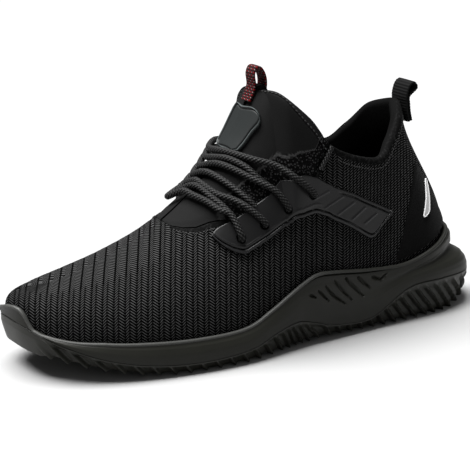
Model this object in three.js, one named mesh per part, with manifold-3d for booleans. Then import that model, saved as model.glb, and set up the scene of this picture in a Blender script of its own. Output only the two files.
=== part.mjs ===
// A left low-cut safety sneaker: a knitted upper on a moulded sole with ribbed sides.
// Millimetres, +Z up, the toe towards -X and the lateral side towards -Y. The origin is on the
// floor, under the middle of the heel, where the sole rests.
import * as THREE from "three";
import { mergeVertices } from "three/addons/utils/BufferGeometryUtils.js";
import Module from "manifold-3d";

const wasm = await Module();
wasm.setup();

// Driving sizes of the last and the sole
const lastLength = 282; // toe to heel of the upper, along the feather line
const heelSet = 26; // the back of the last behind the origin
const ballWidth = 93; // feather line at the ball
const instepHeight = 143; // floor to the top of the tongue
const heelHeight = 126.5; // floor to the top of the heel tab
const rimHeight = 44; // floor to the sole's rim at the heel
const toeSpring = 15; // lift of the toe
const soleFlare = 16; // how far the sole stands out behind the heel
const clearance = 0.3; // between pieces that meet
const gap = clearance + 0.2; // the same, where two curved faceted pieces meet

// Sizes of the pieces
const upperWall = 2.4;
const tongueWall = 3.6;
const collarPad = 4.6; // foam inside the collar, at the heel
const lipWidth = 2.4; // the sole's rim round the upper
const cupDepth = 5; // depth of the seat inside that rim
const insoleThickness = 4;
const insoleMargin = 3.2; // from the feather line to the insole's edge
const outsoleFloor = 5; // the outsole's thickness under the midsole
const outsoleWall = 3.4; // its ribbed side band's thickness
const ribPitch = 8.6;
const ribDepth = 1.7;
const ribLean = 0.62; // how far a rib leans to the toe for each millimetre that it rises
const lugDepth = 2;
const lugLength = 12; // how far the ribs run in under the sole
const outsoleTuck = 3; // the ground edge's distance inside the widest line
const eyestayThickness = 1.8;
const eyeletRadius = 2.6;
const laceDiameter = 3.8;
const laceLift = 0.8; // its height over the tongue between the points where it rests
const laceSides = 6;
const laceSteps = 10;
const heelPanelThickness = 1;
const reflectorThickness = 0.5;
const badgeThickness = 2.2;
const webThickness = 1.6;
const heelLoop = { width: 16, rise: 9, bow: 7, seat: 11, lean: 0.1 };
const tongueHollow = 1.4; // how far the tongue's back curves away behind its loop
const tongueLoop = { width: 9, rise: 14, bow: 9, seat: 7, lean: 0 };

// Turns named columns and rows of numbers into a list of records.
function table(names, rows) {
  const keys = names.split(" ");
  return rows.map((row) => Object.fromEntries(keys.map((key, i) => [key, row[i]])));
}

const smoothToe = 1.2; // the ribs start behind this section

// The last: one row for each section, from the tip of the toe to the back of the heel.
// along is a share of the length; lateral and medial are shares of the ball width from the axis;
// lift is a share of the toe spring; rim and band, the sole's side and its ribs, of the rim height;
// flare of the sole's flare. The top of a section is at topAlong, topLateral and topMedial, as
// high as instep and heel say together. full, bulge, crown and drop shape the wall between; fin
// is where the heel's lip stands out, pad where the collar is padded, and flat how broad the top
// of the tongue is, as a share of the ball width.
const sections = table(
  "along lateral medial lift rim band flare topAlong topLateral topMedial instep heel full bulge crown drop fin pad flat",
  [
    [0, -0.097, 0.097, 1, 0.51, 0.36, 0.1, 0.063, 0.045, 0.045, 0.333, 0, 0.8, 0.01, 0.13, 0, 0, 0, 0],
    [0.012, 0.075, 0.258, 0.93, 0.48, 0.34, 0.17, 0.074, 0.045, 0.045, 0.338, 0, 0.8, 0.01, 0.15, 0, 0, 0, 0],
    [0.053, 0.237, 0.366, 0.73, 0.36, 0.26, 0.3, 0.098, 0.043, 0.043, 0.349, 0, 0.78, 0.012, 0.2, 0, 0, 0, 0],
    [0.123, 0.366, 0.43, 0.4, 0.375, 0.18, 0.36, 0.151, 0.035, 0.035, 0.376, 0, 0.7, 0.02, 0.25, 0, 0, 0, 0],
    [0.21, 0.452, 0.468, 0.1, 0.43, 0.16, 0.4, 0.225, 0.02, 0.02, 0.425, 0, 0.6, 0.03, 0.27, 0, 0, 0, 0],
    [0.31, 0.5, 0.484, -0.02, 0.445, 0.16, 0.43, 0.316, 0.01, 0.01, 0.511, 0, 0.52, 0.03, 0.25, 0, 0, 0, 0],
    [0.407, 0.511, 0.462, -0.02, 0.47, 0.2, 0.43, 0.407, 0, 0, 0.648, 0, 0.5, 0.02, 0.21, 0, 0, 0, 0],
    [0.47, 0.489, 0.419, 0.03, 0.6, 0.3, 0.4, 0.477, 0, 0, 0.796, 0, 0.48, 0.01, 0.2, 0, 0, 0, 0.028],
    [0.523, 0.468, 0.387, 0.08, 0.75, 0.36, 0.37, 0.537, 0, 0, 1, 0, 0.45, 0, 0.17, 0, 0, 0, 0.048],
    [0.554, 0.452, 0.371, 0.1, 0.83, 0.33, 0.36, 0.557, 0.19, 0.19, 1.004, 0, 0.42, 0, 0.11, 0.1, 0, 0, 0.036],
    [0.59, 0.441, 0.355, 0.13, 0.9, 0.25, 0.35, 0.61, 0.3, 0.3, 0.905, 0, 0.4, 0, 0.03, 0.3, 0, 0, 0.016],
    [0.632, 0.43, 0.344, 0.13, 0.89, 0.17, 0.34, 0.665, 0.345, 0.345, 0.607, 0.184, 0.35, 0, 0.01, 0.4, 0, 0.2, 0],
    [0.73, 0.403, 0.339, 0.03, 0.84, 0.18, 0.34, 0.773, 0.335, 0.33, 0.193, 0.575, 0.35, 0, 0.01, 0.4, 0.2, 0.6, 0],
    [0.828, 0.382, 0.355, -0.02, 0.83, 0.5, 0.38, 0.8245, 0.272, 0.272, 0.02, 0.847, 0.35, 0.01, 0.02, 0.36, 0.7, 1, 0],
    [0.912, 0.333, 0.328, -0.12, 0.984, 0.554, 0.54, 0.862, 0.199, 0.199, 0, 0.955, 0.35, 0.02, -0.01, 0.33, 1, 1, 0],
    [0.975, 0.188, 0.188, 0.15, 0.997, 0.417, 0.86, 0.887, 0.091, 0.091, 0, 0.99, 0.35, 0.025, -0.015, 0.33, 1, 1, 0],
    [1, 0, 0, 0.4, 0.92, 0.27, 1, 0.9, 0, 0, 0, 1, 0.35, 0.03, -0.015, 0.33, 1, 1, 0],
  ],
);
const lastRow = sections.length - 1; // the back of the heel
const tongueTopRow = 8; // the collar opens behind this section
const seamRow = 11; // the tongue is sewn to the quarters here

// The side of the midsole, from the ribs to the rim: up is a share of the way, and plain and
// finned are shares of the flare, along the shoe and round the heel.
const midsoleSide = table("up plain finned", [
  [0, 0.9, 0.93],
  [0.14, 1, 1],
  [0.36, 0.94, 0.9],
  [0.54, 0.78, 0.1],
  [0.6, 0.7, 0.04],
  [0.68, 0.6, 0.22],
  [0.85, 0.3, 0.2],
  [1, 0, 0],
]);

// The throat's edge: how far up the wall the knit ends at each row. It opens in an arc, runs
// under the eyestays and climbs the tongue's seam to the collar.
const throat = table("row share", [
  [5.06, 1],
  [5.08, 0.93],
  [5.13, 0.86],
  [5.28, 0.77],
  [5.48, 0.7],
  [5.75, 0.655],
  [6.05, 0.59],
  [6.28, 0.53],
  [6.83, 0.485],
  [7.45, 0.435],
  [8, 0.415],
  [8.6, 0.425],
  [9.1, 0.435],
  [9.5, 0.49],
  [9.8, 0.545],
  [10.12, 0.61],
  [10.53, 0.83],
  [10.86, 1],
]);

// The eyestay on each side: a strip up the throat that ends in a wing on the quarter.
const eyestay = table("row low high", [
  [5.68, 0.565, 0.578],
  [5.78, 0.49, 0.588],
  [6.02, 0.41, 0.57],
  [6.29, 0.356, 0.54],
  [6.83, 0.326, 0.5],
  [7.45, 0.292, 0.45],
  [8.05, 0.264, 0.43],
  [8.6, 0.28, 0.435],
  [9, 0.295, 0.448],
  [9.3, 0.308, 0.495],
  [9.65, 0.34, 0.548],
  [9.9, 0.37, 0.583],
  [10.37, 0.42, 0.65],
  [10.77, 0.468, 0.708],
  [11.15, 0.462, 0.725],
  [11.42, 0.437, 0.718],
  [11.65, 0.395, 0.686],
  [11.9, 0.34, 0.65],
  [12.03, 0.325, 0.63],
  [12.15, 0.375, 0.61],
  [12.35, 0.447, 0.565],
  [12.63, 0.485, 0.505],
]);
const eyelets = table("row share", [[6.28, 0.435], [7.12, 0.375], [8.24, 0.325], [9.87, 0.474]]);

// The heel's side panel and the reflector on it.
const heelPanel = table("row high", [
  [12.8, 0.12],
  [13.18, 0.38],
  [13.55, 0.51],
  [13.9, 0.57],
  [14.36, 0.61],
  [14.5, 0.55],
  [14.64, 0.4],
  [14.76, 0.25],
  [15, 0.14],
  [15.5, 0.1],
]);
const panelFoot = 0.085; // just above the sole's rim
const reflector = { rows: [13.8, 14.4], shares: [0.29, 0.51], spread: [0.3, 0.11] };

// The lace's bars, from the lowest: where each crosses the ridge and the tongue's medial
// shoulder, how it comes down to the eyestay's edge, and the eyelet that it enters, if any.
const laceBars = table("ridge shoulder midRow midShare edgeRow edgeShare eyelet slack", [
  [5.7, 5.53, 5.87, 0.77, 6.14, 0.62, 0, 1.6],
  [5.87, 5.75, 6.0, 0.78, 0, 0, -1, 0],
  [6.03, 5.95, 6.15, 0.76, 6.58, 0.57, 1, 0],
  [6.22, 6.15, 6.38, 0.76, 0, 0, -1, 0],
  [6.43, 6.35, 6.66, 0.76, 7.5, 0.49, 2, 0],
  [6.6, 6.55, 6.86, 0.75, 0, 0, -1, 0],
  [6.77, 6.73, 7.22, 0.68, 8.7, 0.475, 3, 2],
]);
const shoulderShare = 0.84;
// The badge's outline: how far down the wall each side of it reaches.
const badge = table("row lateral medial", [
  [6.93, 0.9, 0.94],
  [6.97, 0.85, 0.885],
  [7.04, 0.815, 0.872],
  [7.2, 0.805, 0.875],
  [7.48, 0.78, 0.88],
  [7.64, 0.762, 0.89],
  [7.71, 0.77, 0.905],
  [7.75, 0.81, 0.935],
]);

// A value read between the rows of one of these tables.
function between(list, column) {
  return (row) => {
    const i = list.findIndex((entry) => entry.row >= row);
    if (i < 0) return list.at(-1)[column];
    if (i === 0) return list[0][column];
    const [a, b] = [list[i - 1], list[i]];
    return a[column] + ((row - a.row) / (b.row - a.row)) * (b[column] - a[column]);
  };
}

// A Catmull-Rom spline through a closed list of numbers.
function closedSpline(values, at) {
  const count = values.length;
  const i = Math.floor(at);
  const t = at - i;
  const [a, b, c, d] = [-1, 0, 1, 2].map((k) => values[(((i + k) % count) + count) % count]);
  const start = (c - a) / 2;
  const end = (d - b) / 2;
  return b + t * (start + t * (3 * (c - b) - 2 * start - end + t * (2 * (b - c) + start + end)));
}

// One value of the sections at any row. The sections run down the lateral side and back up the
// medial one, so that toe and heel are round.
function track(pick) {
  const medialRows = sections.slice(1, lastRow).reverse();
  const values = [
    ...sections.map((s) => pick(s, -1)),
    ...medialRows.map((s) => pick(s, 1)),
  ];
  return (side, row) => closedSpline(values, side < 0 ? row : 2 * lastRow - row);
}

// The same for the top of the wall: one ridge up to the tongue's top, then the collar's ring.
function topTrack(pick) {
  const ridge = sections.slice(0, tongueTopRow + 1).map((s) => pick(s, 1));
  const before = 2 * ridge[0] - ridge[1];
  const after = 2 * ridge[tongueTopRow] - ridge[tongueTopRow - 1];
  const rim = sections.slice(tongueTopRow);
  const ring = [...rim.map((s) => pick(s, -1)), ...rim.slice(1, -1).reverse().map((s) => pick(s, 1))];
  const turn = 2 * (lastRow - tongueTopRow);
  return (side, row) => {
    if (row <= tongueTopRow) return closedSpline([...ridge, after, before], Math.max(0, row));
    return closedSpline(ring, side < 0 ? row - tongueTopRow : turn - row + tongueTopRow);
  };
}

const toeX = heelSet - lastLength;
const sideOf = (side, lateral, medial) => (side < 0 ? -lateral : medial) * ballWidth;
const baseX = track((s) => toeX + s.along * lastLength);
const baseY = track((s, side) => sideOf(side, s.lateral, s.medial));
const liftOf = track((s) => s.lift * toeSpring);
const groundZ = (side, row) => Math.max(0, liftOf(side, row));
const rimZ = track((s) => s.lift * toeSpring + s.rim * rimHeight);
const bandZ = track((s) => s.lift * toeSpring + s.band * rimHeight);
const flareOf = track((s) => s.flare * soleFlare);
const finOf = track((s) => s.fin);
const topX = topTrack((s) => toeX + s.topAlong * lastLength);
const topY = topTrack((s, side) => sideOf(side, s.topLateral, s.topMedial));
const topZ = topTrack((s) => s.instep * instepHeight + s.heel * heelHeight);
const fullOf = track((s) => s.full);
const bulgeOf = track((s) => s.bulge * ballWidth);
const crownOf = track((s) => s.crown * ballWidth);
const dropOf = track((s) => s.drop);
const padOf = track((s) => s.pad * collarPad);
const flatOf = track((s) => s.flat * ballWidth);

const up = new THREE.Vector3(0, 0, 1);
const tiny = 1e-3;

// The feather line in plan, and the direction that points out of it.
function outward(side, row) {
  const tangent = new THREE.Vector3(
    baseX(side, row + tiny) - baseX(side, row - tiny),
    baseY(side, row + tiny) - baseY(side, row - tiny),
    0,
  );
  const normal = tangent.cross(up).normalize();
  return side < 0 ? normal : normal.negate();
}

// A point of the outline that lies away from the feather line, at a height.
function outlinePoint(side, row, away, z) {
  const n = outward(side, row);
  return new THREE.Vector3(baseX(side, row) + n.x * away, baseY(side, row) + n.y * away, z);
}

// How the tongue's shoulders stand out and up: these bring the most of each curve to about 1.
const shoulderOut = 17.6;
const shoulderUp = 70;

// The outside of the upper: v runs from 0 at the feather line to 1 at the ridge or the collar.
function skinPoint(side, row, v) {
  const n = outward(side, row);
  const base = outlinePoint(side, row, 0, rimZ(side, row) - cupDepth);
  const top = new THREE.Vector3(topX(side, row), topY(side, row), topZ(side, row));
  const closed = Math.max(0, Math.min(1, tongueTopRow - row));
  const near = THREE.MathUtils.clamp(row, 0.4, tongueTopRow - 0.01);
  const ridgeSlope =
    (topZ(side, near + tiny) - topZ(side, near - tiny)) /
    (topX(side, near + tiny) - topX(side, near - tiny));
  const rise = top.z - base.z;
  const low = base.clone().addScaledVector(up, fullOf(side, row) * rise);
  low.addScaledVector(n, bulgeOf(side, row));
  const high = top.clone().addScaledVector(n, crownOf(side, row));
  high.z += closed * ridgeSlope * n.x * crownOf(side, row) - dropOf(side, row) * rise;
  const point = new THREE.CubicBezierCurve3(base, low, high, top).getPoint(v);
  const flat = flatOf(side, row) * v ** 6 * (1 - v);
  point.addScaledVector(n, shoulderOut * flat);
  point.z += shoulderUp * flat * (1 - v);
  return point;
}

// The same, lifted off the surface along its normal.
function skin(side, row, v, away = 0) {
  const meets = row <= tiny || row >= lastRow - tiny || (row <= tongueTopRow + tiny && v >= 1);
  const from = meets ? -1 : side;
  const point = skinPoint(from, row, v);
  if (away === 0) return point;
  const v0 = Math.max(0, v - tiny);
  const v1 = Math.min(1, v + tiny);
  const upward = skinPoint(from, row, v1).sub(skinPoint(from, row, v0));
  const along = skinPoint(from, row + tiny, v).sub(skinPoint(from, row - tiny, v));
  const normal = along.cross(upward).normalize();
  if (from > 0) normal.negate();
  if (meets) normal.y = 0;
  return point.addScaledVector(normal.normalize(), away);
}

const throatShare = between(throat, "share");

// Solids out of closed lists of triangles
function geometryOf(points, triangles) {
  const used = triangles.flat().flatMap((i) => points[i].toArray());
  const loose = new THREE.BufferGeometry();
  loose.setAttribute("position", new THREE.Float32BufferAttribute(used, 3));
  const merged = mergeVertices(loose, 0.004);
  const index = [];
  const old = merged.index.array;
  for (let i = 0; i < old.length; i += 3) {
    const [a, b, c] = old.slice(i, i + 3);
    if (a !== b && b !== c && c !== a) index.push(a, b, c);
  }
  merged.setIndex(index);
  return merged;
}

function solidOf(geometry) {
  return new wasm.Manifold(
    new wasm.Mesh({
      numProp: 3,
      vertProperties: geometry.attributes.position.array,
      triVerts: new Uint32Array(geometry.index.array),
    }),
  );
}

function geometryOfSolid(solid) {
  const mesh = solid.getMesh();
  const geometry = new THREE.BufferGeometry();
  geometry.setAttribute("position", new THREE.BufferAttribute(mesh.vertProperties, 3));
  geometry.setIndex(new THREE.BufferAttribute(mesh.triVerts, 1));
  return geometry;
}

// A three.js primitive, placed, as a solid that can be cut or joined.
function toolSolid(primitive) {
  primitive.deleteAttribute("normal");
  primitive.deleteAttribute("uv");
  return solidOf(mergeVertices(primitive, 1e-4));
}

// Thickens an open sheet: near and far are its two faces, point for point, and every edge that
// only one triangle uses gets a wall.
function thicken(near, far, triangles) {
  const keys = new Map();
  const id = near.map((p) => {
    const key = p.toArray().map((x) => Math.round(x * 100)).join();
    if (!keys.has(key)) keys.set(key, keys.size);
    return keys.get(key);
  });
  const faces = triangles.filter(([a, b, c]) => {
    const ids = new Set([id[a], id[b], id[c]]);
    return ids.size === 3;
  });
  const edges = new Set(
    faces.flatMap(([a, b, c]) => [`${id[a]},${id[b]}`, `${id[b]},${id[c]}`, `${id[c]},${id[a]}`]),
  );
  const first = [];
  near.forEach((_, i) => (first[id[i]] ??= i));
  const points = [...first.map((i) => far[i]), ...first.map((i) => near[i])];
  const count = first.length;
  const out = [];
  for (const face of faces) {
    const [a, b, c] = face.map((i) => id[i]);
    out.push([a, b, c], [count + c, count + b, count + a]);
    for (const [s, e] of [[a, b], [b, c], [c, a]])
      if (!edges.has(`${e},${s}`)) out.push([s, count + s, count + e], [s, count + e, e]);
  }
  return geometryOf(points, out);
}

// A grid of points, row by row, as triangles that face the side on which they run anticlockwise.
function gridTriangles(rows, columns, flip) {
  const out = [];
  for (let i = 0; i + 1 < rows; i++)
    for (let j = 0; j + 1 < columns; j++) {
      const a = i * columns + j;
      const [b, c, d] = [a + 1, a + columns, a + columns + 1];
      out.push(...(flip ? [[a, d, b], [a, c, d]] : [[a, b, d], [a, d, c]]));
    }
  return out;
}

// A sheet on the wall, between two distances from the skin. place(i, j) gives the side, row and
// share of a point of its grid, and the inner distance may depend on them.
function sheet(rows, columns, place, inner, outer, flip = false) {
  const grid = [];
  for (let i = 0; i < rows; i++) for (let j = 0; j < columns; j++) grid.push(place(i, j));
  const depth = (side, row, share) => (typeof inner === "number" ? inner : inner(side, row, share));
  const near = grid.map((at) => skin(...at, depth(...at)));
  const far = grid.map((at) => skin(...at, outer));
  return { near, far, triangles: gridTriangles(rows, columns, flip) };
}

function thickened(...sheets) {
  const near = [];
  const far = [];
  const triangles = [];
  for (const one of sheets) {
    triangles.push(...one.triangles.map((t) => t.map((i) => i + near.length)));
    near.push(...one.near);
    far.push(...one.far);
  }
  return thicken(near, far, triangles);
}

// A band of the wall on one side, from low(row) to high(row).
function wallBand(side, rows, low, high, steps, inner, outer) {
  const place = (i, j) => [side, rows[i], THREE.MathUtils.lerp(low(rows[i]), high(rows[i]), j / steps)];
  return sheet(rows.length, steps + 1, place, inner, outer, side < 0);
}

// Rows spread evenly between named ones.
function spread(stops) {
  const rows = [];
  for (let i = 0; i + 1 < stops.length; i++) {
    const [from, count] = stops[i];
    for (let k = 0; k < count; k++) rows.push(from + ((stops[i + 1][0] - from) * k) / count);
  }
  return [...rows, stops.at(-1)[0]];
}

// Closed rings of points, bottom to top, joined by walls and closed by rungs across both ends.
function ringSolid(rings) {
  const count = rings[0].length; // lateral rows from toe to heel, then medial ones back
  const half = count / 2 + 1;
  const points = rings.flat();
  const triangles = [];
  for (let i = 0; i + 1 < rings.length; i++)
    for (let j = 0; j < count; j++) {
      const [a, b] = [i * count + j, i * count + ((j + 1) % count)];
      triangles.push([a, b, b + count], [a, b + count, a + count]);
    }
  const top = (rings.length - 1) * count;
  for (let j = 0; j + 1 < half; j++) {
    const [a, b] = [j, j + 1];
    const [c, d] = [(count - j) % count, count - j - 1];
    triangles.push([b, a, c], [b, c, d]);
    triangles.push([top + a, top + b, top + d], [top + a, top + d, top + c]);
  }
  return geometryOf(points, triangles.filter(([a, b, c]) => a !== b && b !== c && c !== a));
}

// One ring: a point for each row of the lateral side, then for each of the medial one, back.
function ring(rows, place) {
  const inner = rows.slice(1, -1).reverse();
  return [...rows.map((row, i) => place(-1, row, i)), ...inner.map((row, i) => place(1, row, rows.length - 2 - i))];
}

const soleRows = spread([[0, 2], [1, 3], [2, 3], [4, 6], [8, 4], [11, 2], [12, 4], [14, 3], [15, 3], [lastRow, 0]]);

// The midsole: a block with the sole's outline, its seat for the upper sunk inside the rim.
function midsole() {
  const floorZ = (side, row) => groundZ(side, row) + outsoleFloor + gap;
  const stepIn = (side, row) => flareOf(side, row) - outsoleWall - gap;
  const sideRing = ({ up: share, plain, finned }) =>
    ring(soleRows, (side, row) => {
      const low = bandZ(side, row) + gap;
      const away = THREE.MathUtils.lerp(plain, finned, finOf(side, row));
      const z = THREE.MathUtils.lerp(low, rimZ(side, row), share);
      const reach = flareOf(side, row) - lipWidth - clearance;
      return outlinePoint(side, row, lipWidth + clearance + reach * away, z);
    });
  return ringSolid([
    ring(soleRows, (side, row) => outlinePoint(side, row, stepIn(side, row) - 1, floorZ(side, row))),
    ring(soleRows, (side, row) => outlinePoint(side, row, stepIn(side, row), bandZ(side, row) + gap)),
    ...midsoleSide.map(sideRing),
    ring(soleRows, (side, row) => outlinePoint(side, row, gap, rimZ(side, row))),
    ring(soleRows, (side, row) => outlinePoint(side, row, gap, rimZ(side, row) - cupDepth - gap)),
  ]);
}

// Rows at even steps of the outline's length, three to a rib.
function ribRows() {
  const fine = 400;
  const lengths = [0];
  for (let i = 1; i <= fine; i++) {
    const [a, b] = [i - 1, i].map((k) => outlinePoint(-1, (k / fine) * lastRow, soleFlare / 2, 0));
    lengths.push(lengths[i - 1] + a.distanceTo(b));
  }
  const ribs = Math.round(lengths[fine] / ribPitch);
  const rowAt = (share) => {
    const wanted = share * lengths[fine];
    const i = Math.max(1, lengths.findIndex((l) => l >= wanted - 1e-6));
    return ((i - 1 + (wanted - lengths[i - 1]) / (lengths[i] - lengths[i - 1])) / fine) * lastRow;
  };
  const rows = [];
  for (let k = 0; k < ribs; k++)
    for (const [part, groove] of [[0, 0], [0.45, 0], [0.6, 1]]) rows.push({ row: rowAt((k + part) / ribs), groove });
  rows.push({ row: lastRow, groove: 0 });
  return rows;
}

// The outsole: a tray of rubber whose ribbed band stands up round the midsole.
function outsole() {
  const ribs = ribRows();
  const rows = ribs.map((r) => r.row);
  const leaned = (side, row, rise) => {
    const step = outlinePoint(side, row + tiny, 0, 0).distanceTo(outlinePoint(side, row - tiny, 0, 0));
    const fade = Math.min(1, row / 2, (lastRow - row) / 2);
    return row - (fade * rise * ribLean * 2 * tiny) / Math.max(step, tiny / 4);
  };
  const sideRing = (share, tuck, depth, lug) =>
    ring(rows, (side, row, i) => {
      const height = bandZ(side, row) - groundZ(side, row);
      const at = leaned(side, row, share * height);
      const groove = ribs[i].groove * THREE.MathUtils.smoothstep(row, smoothToe, smoothToe + 1);
      const z = THREE.MathUtils.lerp(groundZ(side, at), bandZ(side, at), share);
      return outlinePoint(side, at, flareOf(side, at) - tuck - groove * depth, z + groove * lug);
    });
  const innerRing = (away, z) =>
    ring(rows, (side, row) => outlinePoint(side, row, flareOf(side, row) - away, z(side, row)));
  return ringSolid([
    innerRing(outsoleTuck + lugLength, groundZ),
    sideRing(0, outsoleTuck, ribDepth, lugDepth),
    sideRing(0.75, 0, ribDepth, 0),
    innerRing(0, bandZ),
    innerRing(outsoleWall, bandZ),
    innerRing(outsoleWall + 1, (side, row) => groundZ(side, row) + outsoleFloor),
  ]);
}

// The insole, loose inside the upper on the midsole's seat.
function insole() {
  const bottom = (side, row) => rimZ(side, row) - cupDepth + clearance;
  return ringSolid([
    ring(soleRows, (side, row) => outlinePoint(side, row, -insoleMargin, bottom(side, row))),
    ring(soleRows, (side, row) =>
      outlinePoint(side, row, -insoleMargin - 0.6, bottom(side, row) + insoleThickness)),
  ]);
}

// The knitted upper, open below, at the throat and at the collar.
const upperRows = [
  ...spread([[0, 2], [1, 2], [2, 2], [3, 2], [4, 2], [throat[0].row, 0]]),
  ...throat.slice(1).map((entry) => entry.row),
  ...spread([[11.3, 2], [12.2, 2], [13, 2], [14, 2], [15, 2], [lastRow, 0]]),
];

function upper() {
  const inner = (side, row, share) =>
    -upperWall - padOf(side, row) * THREE.MathUtils.smoothstep(share, 0.5, 0.8);
  const wall = [-1, 1].map((side) => wallBand(side, upperRows, () => 0, throatShare, 7, inner, 0));
  return thickened(...wall);
}

// The tongue fills the throat and stands up in front of the collar.
function tongue() {
  const rows = upperRows.filter((row) => row > throat[0].row + 0.05 && row < throat.at(-1).row - 0.1);
  const share = (row) => Math.min(1, throatShare(row) + (gap * throatSlope(row)) / wallLength(row));
  const wall = [-1, 1].map((side) => wallBand(side, rows, share, () => 1, 5, -tongueWall, 0));
  return thickened(...wall);
}

// How long the wall is at a row, and how much longer the throat's edge is there than its row.
function wallLength(row) {
  return skinPoint(-1, row, 0).distanceTo(skinPoint(-1, row, 1));
}

function throatSlope(row) {
  const [a, b] = [row - 0.02, row + 0.02];
  const edge = skinPoint(-1, a, throatShare(a)).distanceTo(skinPoint(-1, b, throatShare(b)));
  const flat = skinPoint(-1, a, throatShare(row)).distanceTo(skinPoint(-1, b, throatShare(row)));
  return Math.max(1, edge / flat);
}

// Extra rows between those of a table, so that a piece bends with the wall.
function rowsOf(list, longest) {
  const stops = list.map((entry, i) => {
    const next = list[i + 1];
    return [entry.row, next ? Math.ceil((next.row - entry.row) / longest) : 0];
  });
  return spread(stops);
}

// Round holes through the eyestay and the knit.
function eyeletTool(side) {
  const reach = 2 * (upperWall + eyestayThickness);
  return eyelets.map(({ row, share }) => {
    const [inside, outside] = [-reach, reach].map((away) => skin(side, row, share, away));
    const pin = new THREE.CylinderGeometry(eyeletRadius, eyeletRadius, 2 * reach, 8);
    const turn = new THREE.Quaternion().setFromUnitVectors(
      new THREE.Vector3(0, 1, 0),
      outside.clone().sub(inside).normalize(),
    );
    pin.applyQuaternion(turn);
    const middle = inside.add(outside).multiplyScalar(0.5);
    pin.translate(middle.x, middle.y, middle.z);
    return toolSolid(pin);
  });
}

function withEyelets(geometry, sides) {
  const holes = sides.flatMap(eyeletTool);
  return geometryOfSolid(holes.reduce((solid, hole) => solid.subtract(hole), solidOf(geometry)));
}

function eyestayPiece(side) {
  const rows = rowsOf(eyestay, 0.6);
  const band = wallBand(
    side, rows, between(eyestay, "low"), between(eyestay, "high"), 2,
    gap, gap + eyestayThickness,
  );
  return withEyelets(thickened(band), [side]);
}

function heelPanelPiece(side) {
  const rows = rowsOf(heelPanel, 0.3);
  const high = between(heelPanel, "high");
  return thickened(wallBand(side, rows, () => panelFoot, high, 4, gap, gap + heelPanelThickness));
}

// A tapered strip with round ends.
function reflectorPiece(side) {
  const inner = 2 * gap + heelPanelThickness;
  const steps = 7;
  const place = (i, j) => {
    const t = (1 - Math.cos((Math.PI * i) / steps)) / 2;
    const wide = THREE.MathUtils.lerp(...reflector.spread, t);
    const end = Math.min(1, Math.sqrt(Math.max(0, 1 - (1 - Math.min(t, 1 - t) / 0.12) ** 2)));
    const across = (j / 2 - 0.5) * wide * (t < 0.12 || t > 0.88 ? end : 1);
    return [side, THREE.MathUtils.lerp(...reflector.rows, t) + across, THREE.MathUtils.lerp(...reflector.shares, t)];
  };
  return thickened(sheet(steps + 1, 3, place, inner, inner + reflectorThickness, side > 0));
}

// The moulded badge on the tongue, wider at its top, its corners round.
function badgePiece() {
  const half = (side) => {
    const place = (i, j) => {
      const { row, lateral, medial } = badge[i];
      const share = side < 0 ? lateral : medial;
      return [side, row, 1 - (1 - j / 3) * (1 - share)];
    };
    return sheet(badge.length, 4, place, gap, gap + badgeThickness, side < 0);
  };
  return thickened(half(-1), half(1));
}

// A webbing loop on an edge, seen from its side. Its legs run down the wall at two distances from
// the skin, and it stands up in an open bow. out points away from the wall, along up to its edge.
function pullLoop({ edge, along, out, front, back, width, rise, bow, seat, lean }) {
  const middle = (front + back) / 2;
  const at = (up, away) => edge.clone().addScaledVector(along, up).addScaledVector(out, away);
  const above = (up, away) => at(0, away).add(new THREE.Vector3(lean * up, 0, up));
  const line = new THREE.CatmullRomCurve3([
    at(-seat, front),
    at(-seat * 0.4, front),
    above(rise * 0.12, front + 0.1),
    above(rise * 0.6, middle + bow / 2),
    above(rise * 0.9, middle + bow * 0.3),
    above(rise, middle),
    above(rise * 0.9, middle - bow * 0.3),
    above(rise * 0.6, middle - bow / 2),
    above(rise * 0.12, back - 0.1),
    at(-seat * 0.4, back),
    at(-seat, back),
  ]);
  const steps = 24;
  const sides = [[], []];
  for (let i = 0; i <= steps; i++) {
    const p = line.getPoint(i / steps);
    const t = line.getTangent(i / steps);
    for (const [k, half] of [[0, webThickness / 2], [1, -webThickness / 2]])
      sides[k].push(new THREE.Vector2(p.x - t.z * half, p.z + t.x * half));
  }
  const shape = new THREE.Shape([...sides[0], ...sides[1].reverse()]);
  const web = new THREE.ExtrudeGeometry(shape, { depth: width, bevelEnabled: false, curveSegments: 1 });
  web.rotateX(Math.PI / 2);
  web.translate(0, edge.y + width / 2, 0);
  return geometryOfSolid(toolSolid(web));
}

// The tongue's loop straddles its edge; the heel's is sewn to the outside with both legs.
function tongueLoopPiece() {
  const edge = skin(-1, tongueTopRow, 1);
  const along = edge.clone().sub(skin(-1, tongueTopRow - 0.55, 1)).normalize();
  const out = new THREE.Vector3(-along.z, 0, along.x);
  const front = gap + webThickness / 2;
  const back = -tongueWall - front - tongueHollow;
  return pullLoop({ edge, along, out, front, back, ...tongueLoop });
}

function heelLoopPiece() {
  const edge = skin(-1, lastRow, 1);
  const along = edge.clone().sub(skin(-1, lastRow, 0.86)).normalize();
  const out = new THREE.Vector3(along.z, 0, -along.x);
  const back = gap + webThickness / 2;
  return pullLoop({ edge, along, out, front: back + webThickness + clearance, back, ...heelLoop });
}

// A round cord, swept along points.
function cord(points) {
  const path = new THREE.CatmullRomCurve3(points, false, "centripetal");
  const section = new THREE.Shape();
  section.absarc(0, 0, laceDiameter / 2, 0, 2 * Math.PI);
  const swept = new THREE.ExtrudeGeometry(section, {
    steps: laceSteps,
    curveSegments: laceSides / 2,
    bevelEnabled: false,
    extrudePath: path,
  });
  return toolSolid(swept);
}

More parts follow.
